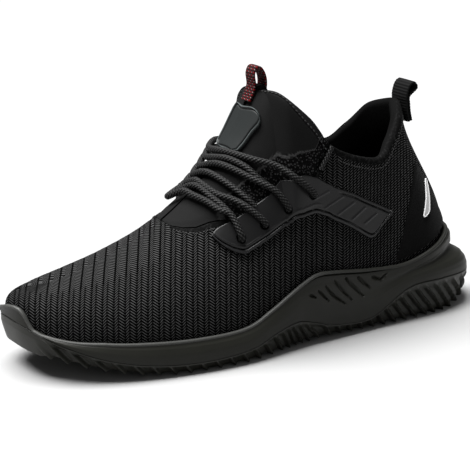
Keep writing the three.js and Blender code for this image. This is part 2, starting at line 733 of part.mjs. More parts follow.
// The lace: bars over the tongue. Those with an eyelet are held at both eyestays. Each of the
// others runs from the bar before it, at the lateral eyestay, to the bar after it on the medial side.
function lace() {
  const rest = laceDiameter / 2 + gap + laceLift;
  const over = rest + gap + eyestayThickness;
  const middle = (side, bar) => skin(side, bar.midRow, bar.midShare, rest);
  const edge = (side, bar) => skin(side, bar.edgeRow, bar.edgeShare, over);
  const held = (side, bar) => {
    const { row, share } = eyelets[bar.eyelet];
    return [skin(side, row, share, over), edge(side, bar), middle(side, bar)];
  };
  const bars = laceBars.map((bar, i) => {
    const ridge = skin(-1, bar.ridge, 1, rest + bar.slack / 2);
    const shoulder = skin(1, bar.shoulder, shoulderShare, rest + bar.slack);
    if (bar.eyelet >= 0) return cord([...held(-1, bar), ridge, shoulder, ...held(1, bar).reverse()]);
    const start = [edge(-1, laceBars[i - 1]), middle(-1, bar)];
    return cord([...start, ridge, shoulder, middle(1, laceBars[i + 1])]);
  });
  return geometryOfSolid(bars.reduce((sum, bar) => sum.add(bar)));
}

const finishes = {
  knit: { color: 0x141414, roughness: 0.95 },
  stretch: { color: 0x181818, roughness: 0.9 },
  foam: { color: 0x24251f, roughness: 0.7 },
  rubber: { color: 0x191a17, roughness: 0.65 },
  film: { color: 0x1b1b1b, roughness: 0.5 },
  suede: { color: 0x121212, roughness: 0.9 },
  lace: { color: 0x1a1a1a, roughness: 0.85 },
  webbing: { color: 0x161616, roughness: 0.85 },
  badge: { color: 0x4a4d4e, roughness: 0.45 },
  reflector: { color: 0x9a9a9a, roughness: 0.4 },
  lining: { color: 0x101010, roughness: 1 },
};

const shoe = new THREE.Group();
function add(name, geometry, finish) {
  const material = new THREE.MeshStandardMaterial({ ...finishes[finish], metalness: 0 });
  const mesh = new THREE.Mesh(geometry, material);
  mesh.name = name;
  shoe.add(mesh);
}
add("midsole", midsole(), "foam");
add("outsole", outsole(), "rubber");
add("insole", insole(), "lining");
add("upper", withEyelets(upper(), [-1, 1]), "knit");
add("tongue", tongue(), "stretch");
for (const [side, word] of [[-1, "lateral"], [1, "medial"]]) {
  add(`eyestay_${word}`, eyestayPiece(side), "film");
  add(`heel_panel_${word}`, heelPanelPiece(side), "suede");
  add(`reflector_${word}`, reflectorPiece(side), "reflector");
}
add("tongue_badge", badgePiece(), "badge");
add("tongue_loop", tongueLoopPiece(), "webbing");
add("heel_loop", heelLoopPiece(), "webbing");
add("lace", lace(), "lace");

export default shoe;
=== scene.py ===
import math

import bpy
import numpy as np
from mathutils import Matrix, Vector


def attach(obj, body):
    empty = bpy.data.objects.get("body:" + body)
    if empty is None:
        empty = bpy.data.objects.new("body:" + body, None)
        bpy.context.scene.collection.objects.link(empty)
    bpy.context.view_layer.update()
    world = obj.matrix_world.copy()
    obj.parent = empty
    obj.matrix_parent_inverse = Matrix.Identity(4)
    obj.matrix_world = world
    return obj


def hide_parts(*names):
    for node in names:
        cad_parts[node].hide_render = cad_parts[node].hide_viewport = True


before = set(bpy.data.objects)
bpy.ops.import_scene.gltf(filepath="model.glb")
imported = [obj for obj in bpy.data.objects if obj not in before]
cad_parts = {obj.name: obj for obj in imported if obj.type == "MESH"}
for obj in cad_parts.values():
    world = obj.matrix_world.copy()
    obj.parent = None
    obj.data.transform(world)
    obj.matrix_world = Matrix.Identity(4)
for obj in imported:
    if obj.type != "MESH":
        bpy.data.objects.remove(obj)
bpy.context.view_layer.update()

# The room: a white floor and soft studio light, seen by a camera at the photograph's angle.
# The camera stands 1.1 m from the middle of the shoe and looks slightly down on its toe.
camera_turn = math.radians(-31.2)
camera_tilt = math.radians(16.0)
camera_roll = math.radians(-0.38)
camera_distance = 1.1
camera_target = Vector((-0.113, 0.007, 0.056))
sensor_width = 36
focal_pixels = 1886
photo_pixels = 470

back = Vector((
    math.sin(camera_turn) * math.cos(camera_tilt),
    -math.cos(camera_turn) * math.cos(camera_tilt),
    math.sin(camera_tilt),
))
level_right = Vector((math.cos(camera_turn), math.sin(camera_turn), 0))
level_up = back.cross(level_right)
right = level_right * math.cos(camera_roll) + level_up * math.sin(camera_roll)
upward = level_up * math.cos(camera_roll) - level_right * math.sin(camera_roll)
camera_data = bpy.data.cameras.new("photo_camera")
camera_data.lens = focal_pixels / photo_pixels * sensor_width
camera_data.sensor_width = sensor_width
camera = bpy.data.objects.new("photo_camera", camera_data)
turn = Matrix((right, upward, back)).transposed().to_4x4()
camera.matrix_world = Matrix.Translation(camera_target + back * camera_distance) @ turn
bpy.context.scene.collection.objects.link(camera)
bpy.context.scene.camera = camera
bpy.context.scene.view_settings.view_transform = "Standard"


def soft_light(name, place, size, power, aim=(-0.11, 0, 0.05)):
    data = bpy.data.lights.new(name, "AREA")
    data.size = size
    data.energy = power
    lamp = bpy.data.objects.new(name, data)
    lamp.location = place
    lamp.rotation_euler = (Vector(aim) - Vector(place)).to_track_quat("-Z", "Y").to_euler()
    bpy.context.scene.collection.objects.link(lamp)


soft_light("fill", (-0.5, -1.1, 0.5), 0.9, 1.2)
soft_light("side", (0.9, -0.9, 0.6), 0.9, 1.2)
sun_data = bpy.data.lights.new("overhead", "SUN")
sun_data.energy = 13
sun_data.angle = math.radians(48)
overhead = bpy.data.objects.new("overhead", sun_data)
overhead.rotation_euler = Vector((-0.22, 0.24, 1)).to_track_quat("Z", "Y").to_euler()
bpy.context.scene.collection.objects.link(overhead)
world = bpy.data.worlds.new("studio")
world.use_nodes = True
world.node_tree.nodes["Background"].inputs["Color"].default_value = (1, 1, 1, 1)
world.node_tree.nodes["Background"].inputs["Strength"].default_value = 0.18
bpy.context.scene.world = world

floor_mesh = bpy.data.meshes.new("floor")
floor_reach = 6
corners = [(x * floor_reach, y * floor_reach, 0) for x, y in ((-1, -1), (1, -1), (1, 1), (-1, 1))]
floor_mesh.from_pydata(corners, [], [(0, 1, 2, 3)])
floor = bpy.data.objects.new("floor", floor_mesh)
bpy.context.scene.collection.objects.link(floor)
floor_paint = bpy.data.materials.new("floor_paint")
floor_paint.use_nodes = True
floor_shader = floor_paint.node_tree.nodes["Principled BSDF"]
floor_shader.inputs["Base Color"].default_value = (0.26, 0.26, 0.26, 1)
floor_shader.inputs["Roughness"].default_value = 0.9
floor_shader.inputs["Specular IOR Level"].default_value = 0.1
floor_mesh.materials.append(floor_paint)

# The outsole: a moulded rubber tray. Its side band is scalloped into leaning ribs that end in
# teeth at the ground, and it rises over the toe as a plain bumper. Lengths are in millimetres, and
# a row is a place on the outline, from 0 at the toe's tip to 16 at the back of the heel.
last_length = 282
heel_set = 26
ball_width = 93
instep_height = 143
heel_height = 126.5
rim_height = 44
toe_spring = 15
sole_flare = 16
cup_depth = 5
section_columns = (
    "along lateral medial lift rim band flare top_along top_lateral top_medial "
    "instep heel full bulge crown drop fin pad flat"
).split()
sections = """
0 -0.097 0.097 1 0.51 0.36 0.1 0.063 0.045 0.045 0.333 0 0.8 0.01 0.13 0 0 0 0
0.012 0.075 0.258 0.93 0.48 0.34 0.17 0.074 0.045 0.045 0.338 0 0.8 0.01 0.15 0 0 0 0
0.053 0.237 0.366 0.73 0.36 0.26 0.3 0.098 0.043 0.043 0.349 0 0.78 0.012 0.2 0 0 0 0
0.123 0.366 0.43 0.4 0.375 0.18 0.36 0.151 0.035 0.035 0.376 0 0.7 0.02 0.25 0 0 0 0
0.21 0.452 0.468 0.1 0.43 0.16 0.4 0.225 0.02 0.02 0.425 0 0.6 0.03 0.27 0 0 0 0
0.31 0.5 0.484 -0.02 0.445 0.16 0.43 0.316 0.01 0.01 0.511 0 0.52 0.03 0.25 0 0 0 0
0.407 0.511 0.462 -0.02 0.47 0.2 0.43 0.407 0 0 0.648 0 0.5 0.02 0.21 0 0 0 0
0.47 0.489 0.419 0.03 0.6 0.3 0.4 0.477 0 0 0.796 0 0.48 0.01 0.2 0 0 0 0.028
0.523 0.468 0.387 0.08 0.75 0.36 0.37 0.537 0 0 1 0 0.45 0 0.17 0 0 0 0.048
0.554 0.452 0.371 0.1 0.83 0.33 0.36 0.557 0.19 0.19 1.004 0 0.42 0 0.11 0.1 0 0 0.036
0.59 0.441 0.355 0.13 0.9 0.25 0.35 0.61 0.3 0.3 0.905 0 0.4 0 0.03 0.3 0 0 0.016
0.632 0.43 0.344 0.13 0.89 0.17 0.34 0.665 0.345 0.345 0.607 0.184 0.35 0 0.01 0.4 0 0.2 0
0.73 0.403 0.339 0.03 0.84 0.18 0.34 0.773 0.335 0.33 0.193 0.575 0.35 0 0.01 0.4 0.2 0.6 0
0.828 0.382 0.355 -0.02 0.83 0.5 0.38 0.8245 0.272 0.272 0.02 0.847 0.35 0.01 0.02 0.36 0.7 1 0
0.912 0.333 0.328 -0.12 0.984 0.554 0.54 0.862 0.199 0.199 0 0.955 0.35 0.02 -0.01 0.33 1 1 0
0.975 0.188 0.188 0.15 0.997 0.417 0.97 0.887 0.091 0.091 0 0.99 0.35 0.025 -0.015 0.33 1 1 0
1 0 0 0.4 0.92 0.27 1.14 0.9 0 0 0 1 0.35 0.03 -0.015 0.33 1 1 0
"""
values = np.array([line.split() for line in sections.strip().splitlines()], float)
column = dict(zip(section_columns, values.T))
last_row = len(values) - 1
tongue_top_row = 8
nudge = 1e-3


def closed_spline(values, at):
    """A smooth curve through a closed list of numbers."""
    count = len(values)
    at = np.asarray(at, float)
    i = np.floor(at).astype(int)
    t = at - i
    a, b, c, d = [values[(i + k) % count] for k in (-1, 0, 1, 2)]
    start = (c - a) / 2
    end = (d - b) / 2
    return b + t * (start + t * (3 * (c - b) - 2 * start - end + t * (2 * (b - c) + start + end)))


def track(lateral, medial=None):
    """One value at any row: down the lateral side and back up the medial one."""
    medial = lateral if medial is None else medial
    values = np.concatenate([lateral, medial[1:last_row][::-1]])
    return lambda side, row: closed_spline(values, np.where(side < 0, row, 2 * last_row - row))


def top_track(lateral, medial=None):
    """The same at the top of the wall: a ridge up to the tongue's top, then the collar's ring."""
    medial = lateral if medial is None else medial
    ridge = medial[:tongue_top_row + 1]
    ends = [2 * ridge[-1] - ridge[-2], 2 * ridge[0] - ridge[1]]
    ridge = np.concatenate([ridge, ends])
    ring = np.concatenate([lateral[tongue_top_row:], medial[tongue_top_row + 1:-1][::-1]])
    half_turn = 2 * last_row - tongue_top_row

    def value(side, row):
        front = closed_spline(ridge, np.clip(row, 0, tongue_top_row))
        rear = closed_spline(ring, np.where(side < 0, row - tongue_top_row, half_turn - row))
        return np.where(row <= tongue_top_row, front, rear)

    return value


toe_x = heel_set - last_length
base_x = track(toe_x + column["along"] * last_length)
base_y = track(-column["lateral"] * ball_width, column["medial"] * ball_width)
lift_z = track(column["lift"] * toe_spring)
rim_z = track(column["lift"] * toe_spring + column["rim"] * rim_height)
band_z = track(column["lift"] * toe_spring + column["band"] * rim_height)
flare_of = track(column["flare"] * sole_flare)
fin_of = track(column["fin"])
top_x = top_track(toe_x + column["top_along"] * last_length)
top_y = top_track(-column["top_lateral"] * ball_width, column["top_medial"] * ball_width)
top_z = top_track(column["instep"] * instep_height + column["heel"] * heel_height)
full_of = track(column["full"])
bulge_of = track(column["bulge"] * ball_width)
crown_of = track(column["crown"] * ball_width)
drop_of = track(column["drop"])
pad_of = track(column["pad"])
flat_of = track(column["flat"] * ball_width)
shoulder_out = 17.6
shoulder_up = 70


def ground_z(side, row):
    return np.maximum(0, lift_z(side, row))


def outward(side, row):
    """The direction that points out of the outline, in plan."""
    dx = base_x(side, row + nudge) - base_x(side, row - nudge)
    dy = base_y(side, row + nudge) - base_y(side, row - nudge)
    normal = np.stack([dy, -dx, 0 * dx], -1)
    normal /= np.linalg.norm(normal, axis=-1, keepdims=True)
    return np.where((np.asarray(side) < 0)[..., None], normal, -normal)


def outline_point(side, row, away, z):
    n = outward(side, row)
    x = base_x(side, row) + n[..., 0] * away
    y = base_y(side, row) + n[..., 1] * away
    return np.stack([x, y, z + 0 * x], -1)


def round_the_outline(rows):
    """Side and row of each point of a ring: the lateral rows, then the medial ones back."""
    sides = np.concatenate([-np.ones(len(rows)), np.ones(len(rows) - 2)])
    return sides, np.concatenate([rows, rows[1:-1][::-1]])


def smooth_step(x, low, high):
    t = np.clip((x - low) / (high - low), 0, 1)
    return t * t * (3 - 2 * t)


def look_up(table, at, index=1):
    """A value between the rows of a table, whose first column is the place."""
    return np.interp(at, table[:, 0], table[:, index])


def run_along(line):
    """How far along a line each of its points is."""
    return np.concatenate([[0], np.cumsum(np.linalg.norm(np.diff(line, axis=0), axis=1))])


def make_piece(name, points, faces, materials, face_kinds=None, uvs=None, marks=None, sharp=40):
    """A mesh object from points in millimetres, smooth but for its sharp edges."""
    mesh = bpy.data.meshes.new(name)
    mesh.from_pydata((np.asarray(points) * 0.001).tolist(), [], faces)
    for material in materials:
        mesh.materials.append(material)
    if face_kinds is not None:
        mesh.polygons.foreach_set("material_index", face_kinds)
    if uvs is not None:
        layer = mesh.uv_layers.new(name="UVMap")
        layer.data.foreach_set("uv", np.asarray(uvs, np.float32).ravel())
    for mark, values in (marks or {}).items():
        attribute = mesh.attributes.new(mark, "FLOAT", "POINT")
        attribute.data.foreach_set("value", np.asarray(values, np.float32))
    mesh.shade_smooth()
    mesh.set_sharp_from_angle(angle=math.radians(sharp))
    piece = bpy.data.objects.new(name, mesh)
    bpy.context.scene.collection.objects.link(piece)
    return piece


def ring_faces(rings, count, caps=True):
    """Walls between closed rings of points, with rungs across the first and the last."""
    at = np.arange(rings * count).reshape(rings, count)
    ahead = np.roll(at, -1, axis=1)
    walls = np.stack([at[:-1], ahead[:-1], ahead[1:], at[1:]], -1).reshape(-1, 4).tolist()
    if not caps:
        return walls
    half = count // 2
    top = (rings - 1) * count
    for j in range(half):
        a, b, c, d = j, j + 1, (count - j) % count, count - j - 1
        bottom = [b, a, c, d]
        lid = [top + a, top + b, top + d, top + c]
        for face in (bottom, lid):
            face = [v for i, v in enumerate(face) if v not in face[:i]]
            if len(face) > 2:
                walls.append(face)
    return walls


def ring_piece(name, rings, finish, marks=None, sharp=40):
    """A closed piece from rings that start underneath, climb its outside and end on top."""
    faces = ring_faces(len(rings), len(rings[0]))
    return make_piece(name, np.concatenate(rings), faces, [finish.material], marks=marks, sharp=sharp)


uv_unit = 100.0


def worked_out(operation, turned=False):
    """A method that works out a new value with one of the Math node's operations."""

    def method(value, *others):
        terms = (value, *others)
        return value.finish.math(operation, *(terms[::-1] if turned else terms))

    return method


class Value:
    """A number that changes over a surface: a node's output, which can be calculated with."""

    def __init__(self, finish, socket):
        self.finish = finish
        self.socket = socket

    __add__ = worked_out("ADD")
    __sub__ = worked_out("SUBTRACT")
    __rsub__ = worked_out("SUBTRACT", turned=True)
    __mul__ = worked_out("MULTIPLY")
    __truediv__ = worked_out("DIVIDE")
    __pow__ = worked_out("POWER")
    __abs__ = worked_out("ABSOLUTE")
    sine = worked_out("SINE")
    fraction = worked_out("FRACT")
    lesser = worked_out("MINIMUM")
    greater = worked_out("MAXIMUM")
    below = worked_out("LESS_THAN")


class Finish:
    """A procedural material, built from small nodes that take numbers, values or sockets."""

    def __init__(self, name, color, roughness, specular=0.5):
        self.material = bpy.data.materials.new(name)
        self.material.use_nodes = True
        self.tree = self.material.node_tree
        self.shader = self.tree.nodes["Principled BSDF"]
        self.color = color
        self.set("Base Color", (*color, 1))
        self.set("Roughness", roughness)
        self.set("Specular IOR Level", specular)

    def plug(self, socket, value):
        """Put a number into a socket, or link another node's output to it."""
        value = value.socket if isinstance(value, Value) else value
        if isinstance(value, bpy.types.NodeSocket):
            self.tree.links.new(value, socket)
        else:
            socket.default_value = value

    def set(self, socket, value):
        self.plug(self.shader.inputs[socket], value)

    def node(self, kind, **settings):
        made = self.tree.nodes.new(kind)
        for key, value in settings.items():
            setattr(made, key, value)
        return made

    def feed(self, node, **inputs):
        for key, value in inputs.items():
            self.plug(node.inputs[key.replace("_", " ")], value)
        return node

    def math(self, operation, *values):
        made = self.node("ShaderNodeMath", operation=operation)
        for socket, value in zip(made.inputs, values):
            self.plug(socket, value)
        return Value(self, made.outputs[0])

    def place(self):
        return self.node("ShaderNodeTexCoord").outputs["Object"]

    def uv(self):
        """The piece's own map, in millimetres: across, then along."""
        parts = self.node("ShaderNodeSeparateXYZ")
        self.feed(parts, Vector=self.node("ShaderNodeTexCoord").outputs["UV"])
        return [self.math("MULTIPLY", parts.outputs[i], uv_unit) for i in (0, 1)]

    def mark(self, name):
        return Value(self, self.node("ShaderNodeAttribute", attribute_name=name).outputs["Fac"])

    def noise(self, scale, detail=3.0):
        made = self.node("ShaderNodeTexNoise")
        self.feed(made, Vector=self.place(), Scale=scale, Detail=detail)
        return Value(self, made.outputs["Fac"])

    def blend(self, amount, low, high):
        """From one number to another as amount goes from 0 to 1."""
        made = self.node("ShaderNodeMapRange")
        self.feed(made, Value=amount, To_Min=low, To_Max=high)
        return Value(self, made.outputs["Result"])

    def shades(self, amount, *stops):
        """Colours by amount. A stop has a place, and a colour or a factor of the finish's own."""
        ramp = self.node("ShaderNodeValToRGB")
        elements = ramp.color_ramp.elements
        while len(elements) < len(stops):
            elements.new(0.5)
        for element, (place, shade) in zip(elements, stops):
            element.position = place
            shade = shade if hasattr(shade, "__len__") else [c * shade for c in self.color]
            element.color = (*shade, 1)
        self.plug(ramp.inputs[0], amount)
        return ramp.outputs["Color"]

    def bump(self, height, depth, strength=1.0):
        """Relief of a depth in metres."""
        made = self.node("ShaderNodeBump")
        self.feed(made, Height=height, Distance=depth, Strength=strength)
        self.set("Normal", made.outputs["Normal"])


rib_table = np.array([
    # row, pitch of the ribs, how far they lean for each millimetre that they rise, depth
    (0, 12, 1.2, 3.2), (3, 11, 1.1, 3.2), (4.5, 9.3, 0.8, 2.6), (7, 9, 0.8, 2.6),
    (8, 5, 0.75, 2.4), (9.5, 4.8, 0.75, 2.4), (10.3, 8.3, 0.7, 2.6), (12.7, 8.3, 0.9, 2.8),
    (13.6, 8, 1.05, 2.8), (16, 7, 0.8, 2.4),
])
lug_length = 12
outsole_tuck = 3
outsole_wall = 3.4
outsole_floor = 5

rubber = Finish("rubber", (0.0095, 0.0097, 0.007), 0.42, 0.3)
rubber.set("Base Color", rubber.shades(rubber.noise(45), (0.3, 0.8), (0.7, 1.2)))
rubber.set("Roughness", rubber.blend(rubber.noise(160), 0.42, 0.55))
rubber.bump(rubber.noise(900, 2), 0.00012, 0.6)

fine_rows = np.linspace(0, last_row, 401)
run = run_along(outline_point(-1, fine_rows, sole_flare / 2, 0))
rib_rows = np.interp(np.linspace(0, run[-1], 520), run, fine_rows)
rib_number = np.concatenate([[0], np.cumsum(np.diff(run) / look_up(rib_table, fine_rows[1:]))])


def rib(side, row, rise):
    """How deep the scallops between the ribs are, from 0 on a rib to 1 between two."""
    pitch, lean, depth = [look_up(rib_table, row, i) for i in (1, 2, 3)]
    phase = np.interp(row, fine_rows, rib_number) + lean * rise / pitch
    phase = phase - np.floor(phase)
    scallop = smooth_step(phase, 0, 0.34) * (1 - smooth_step(phase, 0.84, 1))
    return depth * scallop * smooth_step(row, 1.3, 1.9)


def outsole_ring(share, tuck, depth, lug):
    side, row = round_the_outline(rib_rows)
    height = band_z(side, row) - ground_z(side, row)
    groove = rib(side, row, share * height)
    z = ground_z(side, row) + share * height + groove * lug + 0.3 * (share >= 0.98)
    return outline_point(side, row, flare_of(side, row) - tuck - groove * depth, z)


def outsole_inner(away, z_of):
    side, row = round_the_outline(rib_rows)
    return outline_point(side, row, flare_of(side, row) - away, z_of(side, row))


# From the middle of the underside out to the teeth, up the ribs, over the rim and down inside.
outsole_rings = [
    outsole_inner(outsole_tuck + lug_length + 14, ground_z),
    outsole_inner(outsole_tuck + lug_length + 1.5, ground_z),
    outsole_ring(0, outsole_tuck + lug_length, 0, 0.6),
    outsole_ring(0, outsole_tuck + 3, 0, 1),
    outsole_ring(0, outsole_tuck + 0.8, 0.6, 1),
    outsole_ring(0.03, outsole_tuck, 1, 0.8),
    *[outsole_ring(share, outsole_tuck * (1 - share / 0.75) ** 1.2, 1, 0.3 * (1 - share / 0.75))
      for share in np.linspace(0.07, 0.7, 18)],
    *[outsole_ring(share, 0, 1 - smooth_step(share, 0.68, 0.97), 0)
      for share in np.linspace(0.74, 0.96, 8)],
    outsole_inner(0, lambda side, row: band_z(side, row) - 0.9),
    outsole_inner(0.9, lambda side, row: band_z(side, row)),
    outsole_inner(outsole_wall, band_z),
    outsole_inner(outsole_wall + 1, lambda side, row: ground_z(side, row) + outsole_floor),
]
outsole = ring_piece("outsole_piece", outsole_rings, rubber, sharp=32)
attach(outsole, "root")
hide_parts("outsole")

# The midsole: one block of moulded foam, cemented into the outsole. A rounded bead runs round
# its rim, short flutes are cut into the arch, and a fin stands out round the heel.
lip_width = 2.4
bead_out = 0.9
crease_depth = 0.9
gap = 0.5
seam_gap = 0.05
flute_depth = 1.5
flute_width = 0.85
mm_per_row = 22
mm_per_share = 26
midsole_side = np.array([
    # share of the height, and how far out the plain and the finned side stand
    (0, 0.985, 1), (0.12, 1, 0.985), (0.24, 0.975, 0.91), (0.36, 0.94, 0.74), (0.46, 0.87, 0.42),
    (0.54, 0.78, 0.1), (0.6, 0.7, 0.04), (0.68, 0.6, 0.22), (0.85, 0.3, 0.2), (1, 0, 0),
])
toe_step = np.array([
    # row, and how far the rim stands above the last's own line on the lateral and medial sides
    (0, 1.1, 1.1), (0.25, 1.9, -0.3), (0.5, 2.9, -1.2), (0.75, 3.1, -1.8), (0.9, 1.8, -2),
    (1, 0, -2.4), (1.12, -2.8, -3), (1.25, -4.6, -3.6), (1.5, -4.3, -3.4), (1.75, -2.9, -2.5),
    (2, -2, -1.6), (2.5, -1.1, -1), (3, 0, 0),
])
flutes = [
    ((9.35, 0.63), (9.8, 0.53)), ((9.98, 0.65), (10.73, 0.45)), ((10.54, 0.73), (11.32, 0.38)),
    ((11.02, 0.81), (11.49, 0.44)), ((11.36, 0.85), (11.78, 0.48)), ((11.68, 0.85), (11.97, 0.61)),
    ((12.04, 0.83), (12.26, 0.72)), ((12.26, 0.72), (12.43, 0.82)),
]

foam = Finish("foam", (0.0074, 0.0076, 0.0054), 0.5, 0.2)
foam_color = foam.shades(foam.noise(30), (0.3, 0.88), (0.7, 1.1))
# The bead is painted lighter than the foam round it: a painted highlight along the rim, where the
# light from above falls on the bead.
bead_highlight_color = (0.03, 0.0305, 0.0285, 1)
two_colors = foam.node("ShaderNodeMix", data_type="RGBA")
for socket, value in ((0, foam.mark("bead")), (6, foam_color), (7, bead_highlight_color)):
    foam.plug(two_colors.inputs[socket], value)
foam.set("Base Color", two_colors.outputs[2])
foam.set("Roughness", foam.blend(foam.noise(120), 0.42, 0.55))
foam.bump(foam.noise(1400, 2), 0.0001, 0.5)

midsole_rows = np.concatenate([
    np.linspace(0, 7.8, 150, endpoint=False),
    np.linspace(7.8, 12.8, 190, endpoint=False),
    np.linspace(12.8, last_row, 100),
])


def smooth_between(table, at, index):
    """A value between a table's rows, eased so that it has no corners."""
    rows = table[:, 0]
    i = np.clip(np.searchsorted(rows, at, side="right") - 1, 0, len(rows) - 2)
    t = (at - rows[i]) / (rows[i + 1] - rows[i])
    t = t * t * (3 - 2 * t) * 0.5 + t * 0.5
    return table[i, index] + t * (table[i + 1, index] - table[i, index])


def flute_cut(row, share):
    """How deep the flutes are cut at a place on the midsole's side."""
    cut = np.zeros_like(row)
    for (row_a, share_a), (row_b, share_b) in flutes:
        ax, ay = row_a * mm_per_row, share_a * mm_per_share
        bx, by = row_b * mm_per_row, share_b * mm_per_share
        px, py = row * mm_per_row, share * mm_per_share
        length = math.hypot(bx - ax, by - ay)
        t = np.clip(((px - ax) * (bx - ax) + (py - ay) * (by - ay)) / length ** 2, 0, 1)
        off = np.hypot(px - ax - t * (bx - ax), py - ay - t * (by - ay))
        width = flute_width * (0.4 + 0.8 * np.sin(np.pi * np.clip(t + 0.12, 0, 1)))
        cut = np.maximum(cut, np.clip(1 - (off / width) ** 2, 0, 1))
    return cut


def midsole_ring(share):
    side, row = round_the_outline(midsole_rows)
    low = band_z(side, row) + seam_gap
    plain = smooth_between(midsole_side, share, 1)
    finned = smooth_between(midsole_side, share, 2)
    away = plain + fin_of(side, row) * (finned - plain)
    z = low + share * (rim_detail(side, row) - low)
    reach = flare_of(side, row) - lip_width - gap
    cut = flute_depth * flute_cut(row, share + 0 * row)
    cut = cut + crease_depth * smooth_step(share, 0.915, 0.94)
    return outline_point(side, row, lip_width + gap + reach * away - cut, z)


def rim_ring(angle):
    """The bead: a half round on top of the lip."""
    side, row = round_the_outline(midsole_rows)
    radius = (lip_width - 0.2) / 2
    away = gap + lip_width / 2 + bead_out + (radius + 0.25) * math.cos(angle)
    return outline_point(side, row, away, rim_detail(side, row) - 0.9 + radius * math.sin(angle))


def rim_detail(side, row):
    """The rim stands up round the toe's bumper, and steps down behind it in an S."""
    return rim_z(side, row) + np.where(side < 0, look_up(toe_step, row, 1), look_up(toe_step, row, 2))


def midsole_inner(away_of, z_of):
    side, row = round_the_outline(midsole_rows)
    return outline_point(side, row, away_of(side, row), z_of(side, row))


side_shares = np.concatenate([np.linspace(0, 0.9, 38), [0.915, 0.928, 0.94, 0.955]])
midsole_rings = [
    midsole_inner(lambda s, r: flare_of(s, r) - outsole_wall - gap - 1,
                  lambda s, r: ground_z(s, r) + outsole_floor + gap),
    midsole_inner(lambda s, r: flare_of(s, r) - outsole_wall - gap,
                  lambda s, r: band_z(s, r) + seam_gap),
    *[midsole_ring(share) for share in side_shares],
    *[rim_ring(angle) for angle in np.radians([-28, 0, 25, 50, 75, 100, 125, 150, 180])],
    midsole_inner(lambda s, r: gap, lambda s, r: rim_z(s, r) - cup_depth - gap),
]
first_bead = 2 + len(side_shares)
bead = np.zeros((len(midsole_rings), len(midsole_rings[0])))
bead[first_bead:first_bead + 8] = 1
# The painted highlight on the bead fades to a quarter from the arch back to the heel.
bead *= 1 - 0.75 * smooth_step(round_the_outline(midsole_rows)[1], 9.5, 12)
midsole = ring_piece("midsole_piece", midsole_rings, foam, {"bead": bead.ravel()}, sharp=38)
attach(midsole, "root")
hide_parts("midsole")

# The insole: a foam sheet with a woven cover, cut to the last's outline. It lies loose inside, on
# the midsole's seat.
insole_thickness = 4
insole_margin = 3.2

weave = Finish("insole_cover", (0.002, 0.002, 0.002), 0.95, 0.02)
weave.bump(weave.noise(2500, 1), 0.0003, 0.8)
insole_rows = np.linspace(0, last_row, 90)


def insole_ring(inset, height):
    side, row = round_the_outline(insole_rows)
    z = rim_z(side, row) - cup_depth + 0.3 + height
    return outline_point(side, row, -insole_margin - inset, z)


insole_rings = [
    insole_ring(0.4, 0), insole_ring(0, 0.5), insole_ring(0.1, 3.2),
    insole_ring(0.5, 3.8), insole_ring(1.4, insole_thickness),
]
insole = ring_piece("insole_piece", insole_rings, weave)
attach(insole, "root")
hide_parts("insole")

# The upper: one sock of thick knit, lasted over the feather line, with foam inside its collar.
# It is knitted in columns of zigzag rows, which are plainer on top of the toe and turn into
# slanting rows of dots at the heel. Its share is 0 at the sole and 1 at the ridge or the collar.
upper_wall = 2.4
collar_pad = 4.6
throat_front = 5.06
throat_back = 10.86
throat = np.array([
    # row, and the share at which the knit ends
    (throat_front, 1), (5.08, 0.93), (5.13, 0.86), (5.28, 0.77), (5.48, 0.7), (5.75, 0.655),
    (6.05, 0.59), (6.28, 0.53), (6.83, 0.485), (7.45, 0.435), (8, 0.415), (8.6, 0.425),
    (9.1, 0.435), (9.5, 0.49), (9.8, 0.545), (10.12, 0.61), (10.53, 0.83), (throat_back, 1),
])


def skin_point(side, row, v):
    """The outside of the upper: v is 0 at the feather line and 1 at the ridge or the collar."""
    n = outward(side, row)
    base = outline_point(side, row, 0, rim_z(side, row) - cup_depth)
    top = np.stack([top_x(side, row), top_y(side, row), top_z(side, row)], -1)
    closed = np.clip(tongue_top_row - row, 0, 1)
    near = np.clip(row, 0.4, tongue_top_row - 0.01)
    slope = (top_z(side, near + nudge) - top_z(side, near - nudge)) / (
        top_x(side, near + nudge) - top_x(side, near - nudge))
    rise = top[..., 2] - base[..., 2]
    low = base + n * bulge_of(side, row)[..., None]
    low[..., 2] += full_of(side, row) * rise
    crown = crown_of(side, row)
    high = top + n * crown[..., None]
    high[..., 2] += closed * slope * n[..., 0] * crown - drop_of(side, row) * rise
    flat = flat_of(side, row) * v ** 6 * (1 - v)
    v = v[..., None]
    point = ((1 - v) ** 3 * base + 3 * (1 - v) ** 2 * v * low
             + 3 * (1 - v) * v * v * high + v ** 3 * top)
    point += n * (shoulder_out * flat)[..., None]
    point[..., 2] += shoulder_up * flat * (1 - v[..., 0])
    return point


def skin(side, row, v, away=0.0):
    """The same, lifted off the surface along its normal."""
    side, row, v, away = np.broadcast_arrays(*[np.asarray(x, float) for x in (side, row, v, away)])
    meets = (row <= nudge) | (row >= last_row - nudge)
    meets |= (row <= tongue_top_row + nudge) & (v >= 1)
    side = np.where(meets, -1.0, side)
    point = skin_point(side, row, v)
    upward_step = (skin_point(side, row, np.minimum(1, v + nudge))
                   - skin_point(side, row, np.maximum(0, v - nudge)))
    along_step = skin_point(side, row + nudge, v) - skin_point(side, row - nudge, v)
    normal = np.cross(along_step, upward_step)
    normal = np.where((side > 0)[..., None], -normal, normal)
    normal[..., 1] = np.where(meets, 0, normal[..., 1])
    normal /= np.linalg.norm(normal, axis=-1, keepdims=True)
    return point + normal * away[..., None]


def throat_share(row):
    return look_up(throat, row)


def patch(side, rows, shares, outer, inner, uv=None, marks=None):
    """One sheet on the wall: grids of rows and shares, and how far its two faces are away."""
    return {
        "flip": side > 0,
        "outer": skin(side, rows, shares, outer),
        "inner": skin(side, rows, shares, inner),
        "uv": np.zeros((*rows.shape, 2)) if uv is None else uv,
        "marks": marks or {},
    }


